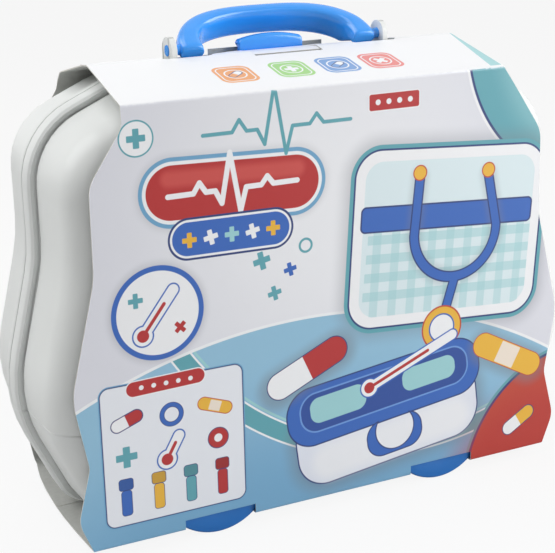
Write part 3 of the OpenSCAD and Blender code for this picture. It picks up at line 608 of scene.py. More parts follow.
def paint_top(sheet):
    """The pale top panel with its badges."""
    sheet.paint(sheet.side(0, FOLD, 0.0), CLEAN, 0.8)
    sheet.paint(sheet.box(104, 240, 14, 40, 3.0, -8.0).larger(sheet.side(0, FOLD + 2, 0.0)), AQUA_LIGHT)
    for index, (x, colour) in enumerate(BADGES):
        sheet.paint(sheet.box(x, BADGE_V, 9.0, 9.6, 4.5), colour)
        sheet.paint(sheet.box(x, BADGE_V, 7.4, 8.0, 3.4).size() - 0.3, CLEAN)
        sheet.paint(sheet.ring(x, BADGE_V, 5.0, 0.7), CLEAN)
        if index % 2:
            plus(sheet, x, BADGE_V, 3.4, CLEAN, 45.0 * (index // 2))
        else:
            capsule(sheet, x, BADGE_V, 8.0, 3.2, 40.0, (CLEAN, colour))


def paint_front(sheet):
    """Everything on the front half, from the grounds up."""
    for painter in (paint_grounds, paint_title, paint_board, paint_stethoscope,
                    paint_open_tray, paint_loose_toys, paint_fittings, paint_top):
        painter(sheet)


def paint_back(sheet):
    """Everything on the back half."""
    x, z, radius = FIELD
    sheet.paint(sheet.disc(x + 20, z + 12, radius), SKY)
    sheet.paint(sheet.disc(x, z - 45, radius), SKY_DARK, 70.0, 0.8)
    sheet.outlined(sheet.box(0, 160, 62, 13, 13), INK_RED, (3.4, SKY_DARK), (1.6, CLEAN))
    pulse(sheet, -32, 159, 1.5, 2.4, CLEAN)
    sheet.outlined(sheet.box(0, 82, 88, 46, 6), seen(238, 241, 247), (1.0, NAVY))
    for index in range(5):
        capsule(sheet, -64 + 32 * index, 106, 20, 7, 18.0 * (index - 2))
        plus(sheet, -64 + 32 * index, 82, 5.0, (AQUA, INK_BLUE)[index % 2])
        plaster(sheet, -64 + 32 * index, 58, 20, 6.5, 14.0 * (2 - index))
    sheet.paint(sheet.side(0, FOLD, 0.0), CLEAN, 0.8)


print("the top has", len(BADGES), "badges")

# %% [markdown]
# ## The card itself
# Coated card has a soft sheen on its printed side, a little paper tooth under the varnish, and
# it wears white where it is folded and along its cut edges. Its inside is plain grey board, and
# its cut edge shows pale fibres.

# %% Card finishes
# How far the fold's wear reaches and fades, and the specks of fibre and wear to the metre
WEAR_REACH, WEAR_FADE = 0.5, 1.0
FIBRE_SCALE, WEAR_SCALE = 900.0, 260.0


def printed_card(name, painter):
    """Coated card with a print, worn white along its fold."""
    finish = Finish(name, PAPER, 0.36, Coat_Weight=0.2, Coat_Roughness=0.25)
    sheet = Print(finish, PAPER)
    painter(sheet)
    place = finish.place()
    fibres = finish.noise(place, FIBRE_SCALE, 3.0)
    worn = finish.noise(place, WEAR_SCALE, 4.0)
    from_fold = (finish.part_of(sheet.sheet, 1) - FOLD).size()
    wear = from_fold.below(WEAR_REACH, WEAR_FADE) * worn.below(0.48, 0.15) * 0.7
    finish.set("Base Color", finish.mix(wear, sheet.colour, (*CLEAN, 1.0)))
    finish.set("Roughness", 0.34 + (fibres - 0.5) * 0.1 + wear * 0.2)
    finish.bump(fibres, 0.06, 0.0002)
    print(name, sheet.count, "shapes,", len(finish.tree.nodes), "nodes")
    return finish.material


def board(name, colour):
    """Unprinted board, with paper pulp and faint clouds in its colour."""
    finish = Finish(name, colour, 0.85)
    place = finish.place()
    pulp = finish.noise(place, 420.0, 5.0)
    clouds = finish.noise(place, 35.0, 2.0)
    fibre = finish.mix(pulp, tint(colour, 0.86), tint(colour, 1.12))
    finish.set("Base Color", finish.mix(clouds * 0.3, fibre, tint(colour, 0.8)))
    finish.bump(pulp, 0.25, 0.0002)
    return finish.material


front_card = printed_card("printed card front", paint_front)
back_card = printed_card("printed card back", paint_back)
grey_board = board("grey board", seen(190, 191, 187))
cut_edge = board("cut edge of the card", seen(222, 220, 214))
print("boards", grey_board.name, "and", cut_edge.name)

# %% [markdown]
# ## Making pieces
# Every new piece is a bmesh turned into an object that stays at the origin, with its place in its
# vertices. It rides on the body of the solid that it stands for, gets the materials it is given
# and hides that solid. Faces are shaded smooth, except where two of them meet at a real edge.

# %% From a bmesh to a piece
BODIES = {node: body for body, nodes in frame["record"]["behaviour"]["bodies"].items() for node in nodes}


def make_piece(name, bm, materials, node, sharp=35.0):
    """Turns a bmesh into a piece that stands for a node; edges over the angle stay sharp."""
    mesh = bpy.data.meshes.new(name)
    bm.to_mesh(mesh)
    bm.free()
    piece = bpy.data.objects.new(name, mesh)
    bpy.context.scene.collection.objects.link(piece)
    for material in materials:
        mesh.materials.append(material)
    mesh.polygons.foreach_set("use_smooth", [True] * len(mesh.polygons))
    mesh.set_sharp_from_angle(angle=radians(sharp))
    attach(piece, BODIES[node])
    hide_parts(node)
    print(name, len(mesh.polygons), "faces")
    return piece


def place_all(bm, matrix):
    """Moves, turns or scales everything in the bmesh."""
    bmesh.ops.transform(bm, matrix=matrix, verts=bm.verts)


def add_modifier(piece, kind, **settings):
    """Adds a live modifier with the given settings."""
    modifier = piece.modifiers.new(kind.title(), kind)
    for key, value in settings.items():
        setattr(modifier, key, value)


# %% [markdown]
# ## Rounded outlines
# The sleeve's outline is made of straight lines and tangent arcs. It is given by a short list of
# corners with their radii, as a maker would draw it, and the points along each arc are worked out.

# %% Points of a rounded outline
# Degrees between two points of an arc
ARC_STEP = 4.0


def corner_points(before, corner, after):
    """Points along the arc that rounds a corner, which is given as x, height and radius."""
    place, radius = Vector(corner[:2]), corner[2]
    to_before = (Vector(before[:2]) - place).normalized()
    to_after = (Vector(after[:2]) - place).normalized()
    half = to_before.angle(to_after) / 2
    centre = place + (to_before + to_after).normalized() * radius / sin(half)
    start = place + to_before * radius / tan(half) - centre
    side = -1 if to_before.cross(to_after) > 0 else 1
    turn = pi - 2 * half
    steps = max(2, ceil(turn / radians(ARC_STEP)))
    first = atan2(start.y, start.x)
    angles = [first + side * turn * index / steps for index in range(steps + 1)]
    return [centre + radius * Vector((cos(angle), sin(angle))) for angle in angles]


def outline(corners):
    """All points of a closed outline."""
    points = []
    for index, corner in enumerate(corners):
        points += corner_points(corners[index - 1], corner, corners[(index + 1) % len(corners)])
    return points


def both_sides(side):
    """The corners of one side, and the same ones mirrored on the other side."""
    return side + [(-x, z, radius) for x, z, radius in reversed(side)]


def half_width(points, z):
    """Largest x of the outline at height z, on the side where x is positive."""
    best = 0.0
    for start, end in zip(points, points[1:] + points[:1]):
        low, high = sorted((start, end), key=lambda point: point.y)
        if low.y <= z <= high.y and high.y > low.y and start.x > 0:
            share = (z - low.y) / (high.y - low.y)
            best = max(best, low.x + share * (high.x - low.x))
    return best


print("arcs have a point every", ARC_STEP, "degrees")

# %% [markdown]
# ## The card sleeve
# A sleeve is cut flat and then folded, so it is modelled that way: a fine grid is trimmed to the
# waved outline, the notches for wheels, handle and latch are cut out of it while it is flat, and
# only then is each row of points carried along the folded path round the case. The print's UV map
# is the flat place of each point. Solidify gives the card its 0.6 mm, with grey board inside.

# %% The flat outline of the sleeve
# Height of the sleeve's floor, half its depth, and the card's thickness
SLEEVE_BOTTOM = 5.5
HALF_SLEEVE = 50.6
CARD = 0.6
# The slit over the hinge leaves this much on either side of the case's middle
SLIT = 0.3
# Corners of the right-hand edge from the top down, as x, height and radius
FRONT_SIDE = [(97.8, 194, 6), (113.5, 171, 16), (113.8, 131, 40), (126.8, 79, 34),
              (121, 46, 9), (127.5, 21, 13), (121.5, SLEEVE_BOTTOM, 0.4)]
BACK_SIDE = [(93.8, 196, 8), (110.5, 171, 16), (110.8, 131, 40), (123.5, 79, 34),
             (117.5, 46, 9), (121.5, 24, 13), (118.3, SLEEVE_BOTTOM, 0.4)]
# Half width of the sleeve's floor, as x and depth
FLOOR_SIDE = [(121.5, -50.6), (122.1, -40), (122.8, -27), (123.3, -12), (123.2, 0),
              (122.9, 7), (122.2, 21), (120.6, 36), (118.6, 47), (118.3, 50.6)]


def between(points, place, inside=0, value=1):
    """Reads a table in between its rows: the value column, where the inside column is place."""
    rows = sorted(points, key=lambda point: point[inside])
    place = min(max(place, rows[0][inside]), rows[-1][inside])
    for low, high in zip(rows, rows[1:]):
        if place <= high[inside]:
            share = (place - low[inside]) / (high[inside] - low[inside])
            return low[value] + share * (high[value] - low[value])


print("the sleeve is", 2 * HALF_SLEEVE, "mm deep and folds at", FOLD, "mm")

# %% The folded path of one half of the sleeve
# Shares of a bend's reach at which the path is read for the mean
BEND_SAMPLES = [index / 8 for index in range(-8, 9)]


class Wrap:
    """One half of the sleeve: its folded path and how far it reaches on either side of it."""

    def __init__(self, path, side, top_left, top_right, ridge_left, ridge_right, bends):
        self.path, self.bends = path, bends
        self.start = SLEEVE_BOTTOM - HALF_SLEEVE + SLIT
        self.length = sum((Vector(b) - Vector(a)).length for a, b in zip(path, path[1:]))
        self.end = self.start + self.length
        self.facing = -1 if path[2][0] < 0 else 1
        self.tops = [(FOLD, top_left, top_right), (self.end, ridge_left, ridge_right)]
        self.sides = [outline(both_sides([(top, FOLD, 0.4)] + side)) for top in (top_left, top_right)]

    def reach(self, v):
        """How far the sheet reaches to the left and to the right at v."""
        if v > FOLD - 0.3:
            return between(self.tops, v, 0, 1), between(self.tops, v, 0, 2)
        if v < SLEEVE_BOTTOM:
            depth = SLEEVE_BOTTOM - v - HALF_SLEEVE
            floor_reach = between(FLOOR_SIDE, -self.facing * depth, 1, 0)
            return floor_reach, floor_reach
        height = max(v, SLEEVE_BOTTOM + 0.3)
        return half_width(self.sides[0], height), half_width(self.sides[1], height)

    def point(self, v):
        """Point of the path, as depth and height, for a place v on the flat sheet."""
        at = self.start
        for start, end in zip(self.path, self.path[1:]):
            start, end = Vector(start), Vector(end)
            length = (end - start).length
            if v <= at + length or end == Vector(self.path[-1]):
                return start + (end - start) * (v - at) / length
            at += length

    def fold(self, v):
        """Mean of the path over a short stretch, which rounds its bends."""
        reach = min((size for place, size in self.bends if abs(v - place) < 2 * size), default=1.0)
        near = [self.point(v + share * reach) for share in BEND_SAMPLES]
        return sum(near, Vector((0, 0))) / len(near)


print("a bend is the mean of", len(BEND_SAMPLES), "points of the path")

# %% The paths of both halves
# From the hinge outwards, a path of depths and heights runs along the floor, up the face, over the
# fold and up to the ridge. The next four numbers are half widths to the left and right, first at
# the fold and then at the ridge, and the last list gives each bend's place and reach.
PEAK = (-3.4, FOLD + 10.4)
front_wrap = Wrap([(-SLIT, SLEEVE_BOTTOM), (-HALF_SLEEVE, SLEEVE_BOTTOM), (-HALF_SLEEVE, FOLD), PEAK,
                   (6.9, 212.8)],
                  FRONT_SIDE, 98.0, 91.0, 95.3, 92.5, [(SLEEVE_BOTTOM, 1.2), (FOLD, 1.2)])
back_wrap = Wrap([(SLIT, SLEEVE_BOTTOM), (HALF_SLEEVE, SLEEVE_BOTTOM), (HALF_SLEEVE, FOLD), (7.2, 212.6)],
                 BACK_SIDE, 93.2, 93.2, 94.2, 94.2, [(SLEEVE_BOTTOM, 5.5), (FOLD, 8.0)])
RIDGE_V = front_wrap.end
print("flat lengths", round(front_wrap.length, 1), round(back_wrap.length, 1), "mm")

# %% [markdown]
# Notches are convex polygons. For each one, the sheet is scored along the polygon's sides, so its
# edges run exactly there, and then the faces inside are deleted.

# %% Cutting a flat sheet
def score(bm, place, out):
    """Cuts new edges along the line through place that is square to out."""
    bmesh.ops.bisect_plane(bm, geom=bm.verts[:] + bm.edges[:] + bm.faces[:], dist=1e-5,
                           plane_co=(*place, 0), plane_no=(*out, 0))


def cut_away(bm, corners):
    """Cuts a convex polygon, given as x and v, out of the flat sheet."""
    middle = sum((Vector(corner) for corner in corners), Vector((0, 0))) / len(corners)
    walls = []
    for start, end in zip(corners, corners[1:] + corners[:1]):
        run = Vector(end) - Vector(start)
        out = Vector((run.y, -run.x)).normalized()
        if out.dot(middle - Vector(start)) > 0:
            out = -out
        walls.append((Vector(start), out))
        score(bm, start, out)
    inside = []
    for face in bm.faces:
        centre = face.calc_center_median().xy
        if all(out.dot(centre - start) < 0 for start, out in walls):
            inside.append(face)
    bmesh.ops.delete(bm, geom=inside, context="FACES")


def rectangle(x0, x1, v0, v1):
    """The corners of an upright notch."""
    return [(x0, v0), (x1, v0), (x1, v1), (x0, v1)]


print("notches are cut with", score.__name__, "and", cut_away.__name__)

# %% [markdown]
# Card has crisp cut edges. Left alone, smooth shading would bend over them and darken the face
# along its border, so the border is marked sharp before Solidify adds the thickness.

# %% The card's thickness
def give_thickness(piece):
    """Gives a sheet its cut edges, its thickness and the grey board inside."""
    bm = bmesh.new()
    bm.from_mesh(piece.data)
    for edge in bm.edges:
        if edge.is_boundary:
            edge.smooth = False
    bm.to_mesh(piece.data)
    bm.free()
    add_modifier(piece, "SOLIDIFY", thickness=CARD * MM, offset=-1.0,
                 material_offset=1, material_offset_rim=2)


print("the card is", CARD, "mm thick")

# %% [markdown]
# A half of the sleeve is made in the order of the real one: the sheet is laid out, scored at its
# bends and notched, its print is put on, and then it is folded. The rows near a bend are close
# together, because only there does the sheet curve.

# %% A sleeve half: trimmed, notched, folded
COLUMNS, ROW_HEIGHT = 40, 2.0
BEND_SCORES = (-1.0, -0.6, -0.3, 0.0, 0.3, 0.6, 1.0)


def flat_sheet(wrap, notches):
    """The trimmed and notched sheet, in millimetres on the sheet."""
    bm = bmesh.new()
    bmesh.ops.create_grid(bm, x_segments=COLUMNS, y_segments=int(wrap.length / ROW_HEIGHT), size=1.0)
    for vert in bm.verts:
        v = wrap.start + wrap.length * (vert.co.y + 1) / 2
        left, right = wrap.reach(v)
        vert.co = Vector(((right + left) * (vert.co.x + 1) / 2 - left, v, 0))
    for place, size in wrap.bends:
        for share in BEND_SCORES:
            score(bm, (0, place + share * size), (0, 1))
    for notch in notches:
        cut_away(bm, notch)
    return bm


def sleeve_half(name, node, wrap, notches, materials, tab_half=0.0, tab_foot=0.0):
    """One half of the sleeve; a tab is folded straight up above its foot."""
    bm = flat_sheet(wrap, notches)
    sheet = bm.loops.layers.uv.new("sheet")
    for face in bm.faces:
        for loop in face.loops:
            loop[sheet].uv = (-wrap.facing * loop.vert.co.x * MM, loop.vert.co.y * MM)
    for vert in bm.verts:
        x, v = vert.co.x, vert.co.y
        point = wrap.fold(v)
        if tab_half and abs(x) < tab_half + 0.01 and v > tab_foot:
            point = wrap.fold(tab_foot) + Vector((0, v - tab_foot))
        vert.co = Vector((x, point.x, point.y)) * MM
    bm.normal_update()
    if wrap.facing * sum(face.normal.y * face.calc_area() for face in bm.faces) < 0:
        bmesh.ops.reverse_faces(bm, faces=bm.faces)
    give_thickness(make_piece(name, bm, materials, node, sharp=60.0))


print("a half has", COLUMNS, "columns of faces, and a row every", ROW_HEIGHT, "mm")

# %% [markdown]
# The front half has notches in its floor for the wheels and the hinge's knuckles, and at the ridge
# for the handle's feet and the latch.

# %% The front half
WHEEL_X = 60.0
# Where the wheels' notches end in the floor, and how far they run up the face, then the knuckles'
WHEEL_NOTCH_END, WHEEL_NOTCH_RISE = -10.4, 5
KNUCKLE_HALF, KNUCKLE_NOTCH_START, KNUCKLE_NOTCH_END = 17, -60, -41.1
# How far a notch runs past the sheet's end
PAST = 3
# Corners of the notch for one foot, as x and distance before the ridge
FOOT_NOTCH = [(61, -PAST), (61, 9.9), (59, 11.9), (38, 11.9), (18.3, -PAST)]
LATCH_NOTCH_HALF, LATCH_NOTCH_DEPTH = 17.4, 17.3


def floor_notches(half):
    """The notches of both wheels, of the given half width, and of the hinge's knuckles."""
    notches = []
    for wheel_x in (-WHEEL_X, WHEEL_X):
        notches.append(rectangle(wheel_x - half, wheel_x + half, WHEEL_NOTCH_END,
                                 SLEEVE_BOTTOM + WHEEL_NOTCH_RISE))
        notches.append(rectangle(wheel_x - KNUCKLE_HALF, wheel_x + KNUCKLE_HALF,
                                 KNUCKLE_NOTCH_START, KNUCKLE_NOTCH_END))
    return notches


foot_notches = [[(side * x, RIDGE_V - before) for x, before in FOOT_NOTCH] for side in (-1, 1)]
latch_notch = rectangle(-LATCH_NOTCH_HALF, LATCH_NOTCH_HALF, RIDGE_V - LATCH_NOTCH_DEPTH, RIDGE_V + PAST)
front_materials = [front_card, grey_board, cut_edge]
sleeve_half("sleeve_front_card", "sleeve_front", front_wrap,
            floor_notches(17.7) + foot_notches + [latch_notch], front_materials)

# %% [markdown]
# The back half is cut away under the handle. Its middle isn't cut off but folded up, so a low
# strip of grey board stands behind the latch.

# %% The back half, with its folded tab
TAB_HALF, TAB_HEIGHT = 30.0, 2.7
# Distance from the ridge to the tab's foot, and how far the cut beside the tab reaches
TAB_BEFORE_RIDGE, CUT_HALF = 8.9, 61
tab_foot = back_wrap.end - TAB_BEFORE_RIDGE
back_notches = [rectangle(-TAB_HALF, TAB_HALF, tab_foot + TAB_HEIGHT, back_wrap.end + PAST)]
for side in (-1, 1):
    back_notches.append(rectangle(side * CUT_HALF, side * TAB_HALF, tab_foot, back_wrap.end + PAST))
sleeve_half("sleeve_back_card", "sleeve_back", back_wrap, floor_notches(18.8) + back_notches,
            [back_card, grey_board, cut_edge], TAB_HALF, tab_foot)

# %% [markdown]
# The tongue lies on the latch and moves with it. It is a plain small grid, bent over the ridge,
# and its print goes on from that of the front half.

# %% The tongue over the latch
TONGUE_HALF = 17.1
# The tongue's section, as depth and height
TONGUE = [(-7.6, 212.6), (PEAK[0], 213.4), (6.9, 212.6)]
bm = bmesh.new()
bmesh.ops.create_grid(bm, x_segments=16, y_segments=8, size=1.0)
sheet = bm.loops.layers.uv.new("sheet")
for vert in bm.verts:
    y = TONGUE[0][0] + (TONGUE[-1][0] - TONGUE[0][0]) * (vert.co.y + 1) / 2
    vert.co = Vector((vert.co.x * TONGUE_HALF, y, between(TONGUE, y))) * MM
for face in bm.faces:
    for loop in face.loops:
        loop[sheet].uv = (loop.vert.co.x, loop.vert.co.y + (RIDGE_V - 6.9) * MM)
give_thickness(make_piece("latch_tongue_card", bm, front_materials, "sleeve_flap", sharp=60.0))

# %% [markdown]
# ## Mouldings whose solids are already right
# The shells, the tray and the toys have their true shape in the packed model, but its edges are
# knife sharp and its curves are flat facets. A real moulding has a small radius on every edge,
# and that radius is what catches the light. A merged copy of the solid gets that radius from a
# Bevel modifier, and smooth shading between the facets of one curve.

# %% A softened copy of a solid
# Edges whose faces meet at more than this many degrees are real edges
REAL_EDGE = 32.0


def softened(node, material, edge=0.25, shape=None):
    """A merged copy of a node's solid with softened edges; shape may move its points first."""
    bm = bmesh.new()
    bm.from_mesh(frame["nodes"][node].data)
    bmesh.ops.remove_doubles(bm, verts=bm.verts, dist=2e-6)
    bmesh.ops.dissolve_limit(bm, angle_limit=radians(0.6), verts=bm.verts, edges=bm.edges)
    if shape:
        shape(bm)
    piece = make_piece(node + "_moulding", bm, [material], node, sharp=REAL_EDGE)
    add_modifier(piece, "BEVEL", width=edge * MM, segments=2, limit_method="ANGLE",
                 angle_limit=radians(REAL_EDGE), miter_outer="MITER_ARC", use_clamp_overlap=True,
                 harden_normals=True)
    add_modifier(piece, "WEIGHTED_NORMAL", keep_sharp=True, weight=80)


print("edges over", REAL_EDGE, "degrees are softened")

# %% [markdown]
# The rims of the real shells are full round beads, rounder than the solids' own. The points of a
# rim's round-over are known by how far they lie under the rim's face, so each row of them is moved
# further in and down. The row where the bead meets the wall sinks and leaves a shallow valley.

# %% The rims of the shells are full beads
# Drop under the rim's face and distance inwards of each row of points, from the edge to the wall
RIM_CURVE = ((2.4, 0.0), (1.1, 0.4), (0.3, 1.2), (0.0, 2.4))
BEAD_GROWTH = 1.55
VALLEY = 1.0
# Two depths that differ by less are the same row
SAME = 0.03


def fuller_rim(rim):
    """Makes the function that enlarges the round-over of a rim whose face lies at depth rim."""
    rim_side = 1 if rim > 0 else -1

    def shape(bm):
        bm.normal_update()
        depths = {vert: abs(rim) - abs(vert.co.y) / MM for vert in bm.verts if vert.co.y * rim_side > 0}
        moves = []
        for level, (drop, inset) in enumerate(RIM_CURVE):
            others = [RIM_CURVE[near][0] for near in (level - 1, level + 1) if 0 <= near < len(RIM_CURVE)]
            for vert, depth in depths.items():
                if abs(depth - drop) > SAME:
                    continue
                linked = [depths.get(edge.other_vert(vert), 99.0) for edge in vert.link_edges]
                if any(abs(place - other) < SAME for place in linked for other in others):
                    moves.append((vert, drop, inset))
        for vert, drop, inset in moves:
            outward = Vector((vert.normal.x, 0, vert.normal.z)).normalized()
            lower = VALLEY if drop == 0 else drop * (BEAD_GROWTH - 1)
            vert.co -= outward * inset * (BEAD_GROWTH - 1) * MM
            vert.co.y -= rim_side * lower * MM
        print("rim points moved", len(moves))

    return shape


for node, rim in (("base_shell", 7.0), ("lid_shell", -9.0)):
    softened(node, white, 0.3, fuller_rim(rim))

# %% [markdown]
# The toys and the wheels' caps differ only in their colour, so one table holds them all. The tray
# and the rack are larger mouldings, with slightly softer edges.

# %% The fittings and the toys
for node in ("tray_insert", "tool_rack"):
    softened(node, deep_blue, 0.3)
TOYS = {
    deep_blue: ("hammer_head", "otoscope_head", "mirror_frame"),
    yellow: ("hammer_handle", "otoscope_handle", "mirror_handle", "syringe_barrel",
             "syringe_plunger", "thermometer_yellow"),
    red: ("glasses", "thermometer_red", "scissors_left_arm", "scissors_left_blade",
          "scissors_right_arm", "scissors_right_blade", "hubcap_front_left",
          "hubcap_front_right", "hubcap_back_left", "hubcap_back_right"),
    teal: ("kidney_tray_left", "kidney_tray_right"),
}
for material, nodes in TOYS.items():
    for node in nodes:
        softened(node, material)

# %% [markdown]
# ## Wheels
# A wheel is a turned shape: its section is drawn once, as radius and depth, and spun about the
# axle. The tyre's flat face stands a little proud of the dished hub that holds the red cap.

# %% Wheels spun from their section
# The section's rows are radius and distance outwards from the wheel's back
WHEEL_R, WHEEL_BACK, BORE_R, HUB_R = 27.5, 37.0, 4.06, 9.45
WHEEL_SECTION = [(BORE_R, 0.0), (26.6, 0.0), (27.2, 0.2), (WHEEL_R, 0.7), (WHEEL_R, 11.4), (27.35, 11.8),
                 (27.0, 12.1), (26.4, 12.2), (17.2, 12.2), (16.4, 11.8), (15.8, 10.6), (15.0, 8.9),
                 (13.6, 8.2), (12.4, 8.6), (11.4, 9.7), (10.6, 10.0), (HUB_R, 9.8), (HUB_R, 6.0),
                 (BORE_R, 6.0)]
WHEEL_STEPS = 96
for side, wheel_x in (("left", -WHEEL_X), ("right", WHEEL_X)):
    for end, facing in (("front", -1), ("back", 1)):
        bm = bmesh.new()
        verts = [bm.verts.new((wheel_x + radius, facing * (WHEEL_BACK + out), WHEEL_R))
                 for radius, out in WHEEL_SECTION]
        edges = [bm.edges.new(pair) for pair in zip(verts, verts[1:] + verts[:1])]
        bmesh.ops.spin(bm, geom=verts + edges, cent=(wheel_x, 0, WHEEL_R), axis=(0, 1, 0),
                       angle=2 * pi, steps=WHEEL_STEPS, use_merge=True)
        bmesh.ops.recalc_face_normals(bm, faces=bm.faces)
        place_all(bm, Matrix.Scale(MM, 4))
        make_piece(f"wheel_{end}_{side}_turning", bm, [wheel_blue], f"wheel_{end}_{side}")

# %% [markdown]
# ## Screws, pins and the mirror
# These are small, or hardly seen, and their solids have the right shape. They keep them and only
# get their metal.

# %% Small fasteners keep their solids and get their steel
METAL_NODES = {
    steel: ("hinge_pins", "latch_pin", "tray_screws", "rack_screws", "wheel_screws_front",
            "wheel_screws_back", "scissors_left_rivet", "scissors_right_rivet"),
    foil: ("mirror_glass",),
}
for material, nodes in METAL_NODES.items():
    for node in nodes:
        solid = frame["nodes"][node]
        solid.data.materials.clear()
        solid.data.materials.append(material)
    print(material.name, "on", ", ".join(nodes))

# %% [markdown]
# ## The handle
# The handle is one thick arch. Its section is a rounded box that is wide at the feet and slim
# at the top, so it is swept: one ring of points is extruded from foot to foot, and each new
# ring is laid between the arch's outer and inner curve.

# %% The arch of the handle
PIVOT = Vector((0.0, 2.0, 216.3))
LEAN = 61.0
HANDLE_HALF, HANDLE_RISE = 50.0, 25.5
FOOT_W, TOP_BAR = 11.0, 7.0
# Half thickness at the feet and along the grip, and the height at which the grip is full
FOOT_HALF, GRIP_HALF, LEG_RISE = 4.0, 7.0, 9.0
SET_BACK = 2.3
SECTION, STATIONS = 32, 72
# Powers under 1 square a curve off: across and up, for the outer curve, the inner one, the section
OUTER_CURVE, INNER_CURVE, SECTION_CURVE = (0.66, 1.05), (0.75, 0.92), 0.55


def bulged(value, power):
    """A power of a value that keeps its sign."""
    return (1 if value >= 0 else -1) * abs(value) ** power


def arch_pair(share):
    """Outer and inner point of the arch at a share of its length, as x and height."""
    angle = pi * (1 - share)
    across, up = cos(angle), sin(angle)
    outer = Vector((HANDLE_HALF * bulged(across, OUTER_CURVE[0]),
                    HANDLE_RISE * bulged(up, OUTER_CURVE[1])))
    inner = Vector(((HANDLE_HALF - FOOT_W) * bulged(across, INNER_CURVE[0]),
                    (HANDLE_RISE - TOP_BAR) * bulged(up, INNER_CURVE[1])))
    return outer, inner


def handle_ring(share, drop, thick, shift=0.0):
    """One section of the arch; drop lowers it and shift sets it back."""
    outer, inner = arch_pair(share)
    middle, reach = (outer + inner) / 2, (outer - inner) / 2
    ring = []
    for index in range(SECTION):
        angle = 2 * pi * index / SECTION
        across, deep = bulged(cos(angle), SECTION_CURVE), bulged(sin(angle), SECTION_CURVE)
        ring.append(Vector((middle.x + reach.x * across, shift + thick * deep,
                            middle.y + reach.y * across - drop)))
    return ring


print("the top of the arch is at", round(arch_pair(0.5)[0].y, 2), "mm over its pivot")

# %% Sweep the handle's arch
FOOT_DROP = 3.6
# Rounded ends of both feet, as share of the drop and half thickness
FEET = [(1.0, 1.6), (0.92, 2.8), (0.75, 3.5), (0.4, 3.9)]


def handle_rings():
    """All sections from the left foot to the right one."""
    rings = [handle_ring(0.0, FOOT_DROP * drop, thick) for drop, thick in FEET]
    for index in range(STATIONS + 1):
        share = index / STATIONS
        grown = min(1.0, arch_pair(share)[0].y / LEG_RISE)
        thick = FOOT_HALF + (GRIP_HALF - FOOT_HALF) * grown
        rings.append(handle_ring(share, 0.0, thick, SET_BACK * grown))
    rings += [handle_ring(1.0, FOOT_DROP * drop, thick) for drop, thick in reversed(FEET)]
    return rings


def swept(bm, rings):
    """Extrudes a closed ring of points along its stations and caps both ends."""
    loop = bmesh.ops.create_circle(bm, segments=len(rings[0]), radius=1.0, cap_ends=False)["verts"]
    edges = list(dict.fromkeys(edge for vert in loop for edge in vert.link_edges))
    first = loop
    for vert, place in zip(loop, rings[0]):
        vert.co = place
    for ring in rings[1:]:
        made = bmesh.ops.extrude_edge_only(bm, edges=edges)["geom"]
        loop = [item for item in made if isinstance(item, bmesh.types.BMVert)]
        edges = [item for item in made if isinstance(item, bmesh.types.BMEdge)]
        for vert, place in zip(loop, ring):
            vert.co = place
    bmesh.ops.contextual_create(bm, geom=first)
    bmesh.ops.contextual_create(bm, geom=loop)
    bmesh.ops.recalc_face_normals(bm, faces=bm.faces)


bm = bmesh.new()
swept(bm, handle_rings())
print("handle body", len(bm.faces), "faces")

# %% [markdown]
# Each foot ends in a pin that turns in the shell's bracket. The arch was drawn upright about the
# line of its pins, so the whole handle is leaned back in one turn.

# %% Pivot pins on both feet, then lean the whole handle back
def rod_along_x(bm, radius, start, end, y=0.0, z=0.0):
    """A round rod from start to end, measured along x."""
    rod = bmesh.ops.create_cone(bm, cap_ends=True, segments=40, radius1=radius, radius2=radius,
                                depth=abs(end - start))["verts"]
    bmesh.ops.rotate(bm, verts=rod, matrix=Matrix.Rotation(pi / 2, 3, "Y"))
    bmesh.ops.translate(bm, verts=rod, vec=((start + end) / 2, y, z))


PIN_START, PIN_REACH, PIN_R = HANDLE_HALF - 4, 56.1, 2.5
for side in (-1, 1):
    rod_along_x(bm, PIN_R, side * PIN_START, side * PIN_REACH)
place_all(bm, Matrix.Scale(MM, 4) @ Matrix.Translation(PIVOT) @ Matrix.Rotation(radians(-LEAN), 4, "X"))
make_piece("handle_moulding", bm, [blue], "handle", sharp=50.0)

# %% [markdown]
# ## The latch
# The latch is a bar that turns in the lid's top, a flat plate across both rims and a thumb lift
# behind them. The lift is arched from side to side and its lip curls back, which gives it the
# pale band of light along its top. It is swept across, one section ring at each station.

# %% The latch's curled lift
LATCH_HALF, LIFT_Y, LIFT_FOOT = 16.5, 9.2, 208.4
LIFT_SIDE, LIFT_RISE = 217.2, 2.2
LIP_BACK = 14.6
# The lift is rounded down over this width at both ends, by this much
END_WIDTH, END_DROP = 0.8, 0.7
LIFT_STATIONS = 44
# Distances from an end of the stations that are close together, and where the even ones start
NEAR_END, EVEN_START = (0.0, 0.15, 0.4, 0.8), 1.2


def lift_section(x):
    """Section of the lift at x, from its foot up the front, over the lip and back down."""
    top = LIFT_SIDE + LIFT_RISE * (1 - (x / LATCH_HALF) ** 2)
    end = min(1.0, (LATCH_HALF - abs(x)) / END_WIDTH)
    crest = top - END_DROP * (1 - end ** 0.5)
    points = [(LIFT_Y, LIFT_FOOT), (LIFT_Y, crest - 2.4), (LIFT_Y + 0.15, crest - 1.3),
              (LIFT_Y + 0.7, crest - 0.5), (LIFT_Y + 1.6, crest - 0.1), (LIFT_Y + 3.2, crest),
              (LIP_BACK - 0.8, crest - 0.2), (LIP_BACK, crest - 0.8), (LIP_BACK - 0.5, crest - 1.5),
              (LIFT_Y + 3.6, crest - 1.9), (LIFT_Y + 2.7, crest - 3.0), (LIFT_Y + 2.6, LIFT_FOOT)]
    return [Vector((x, y, z)) for y, z in points]


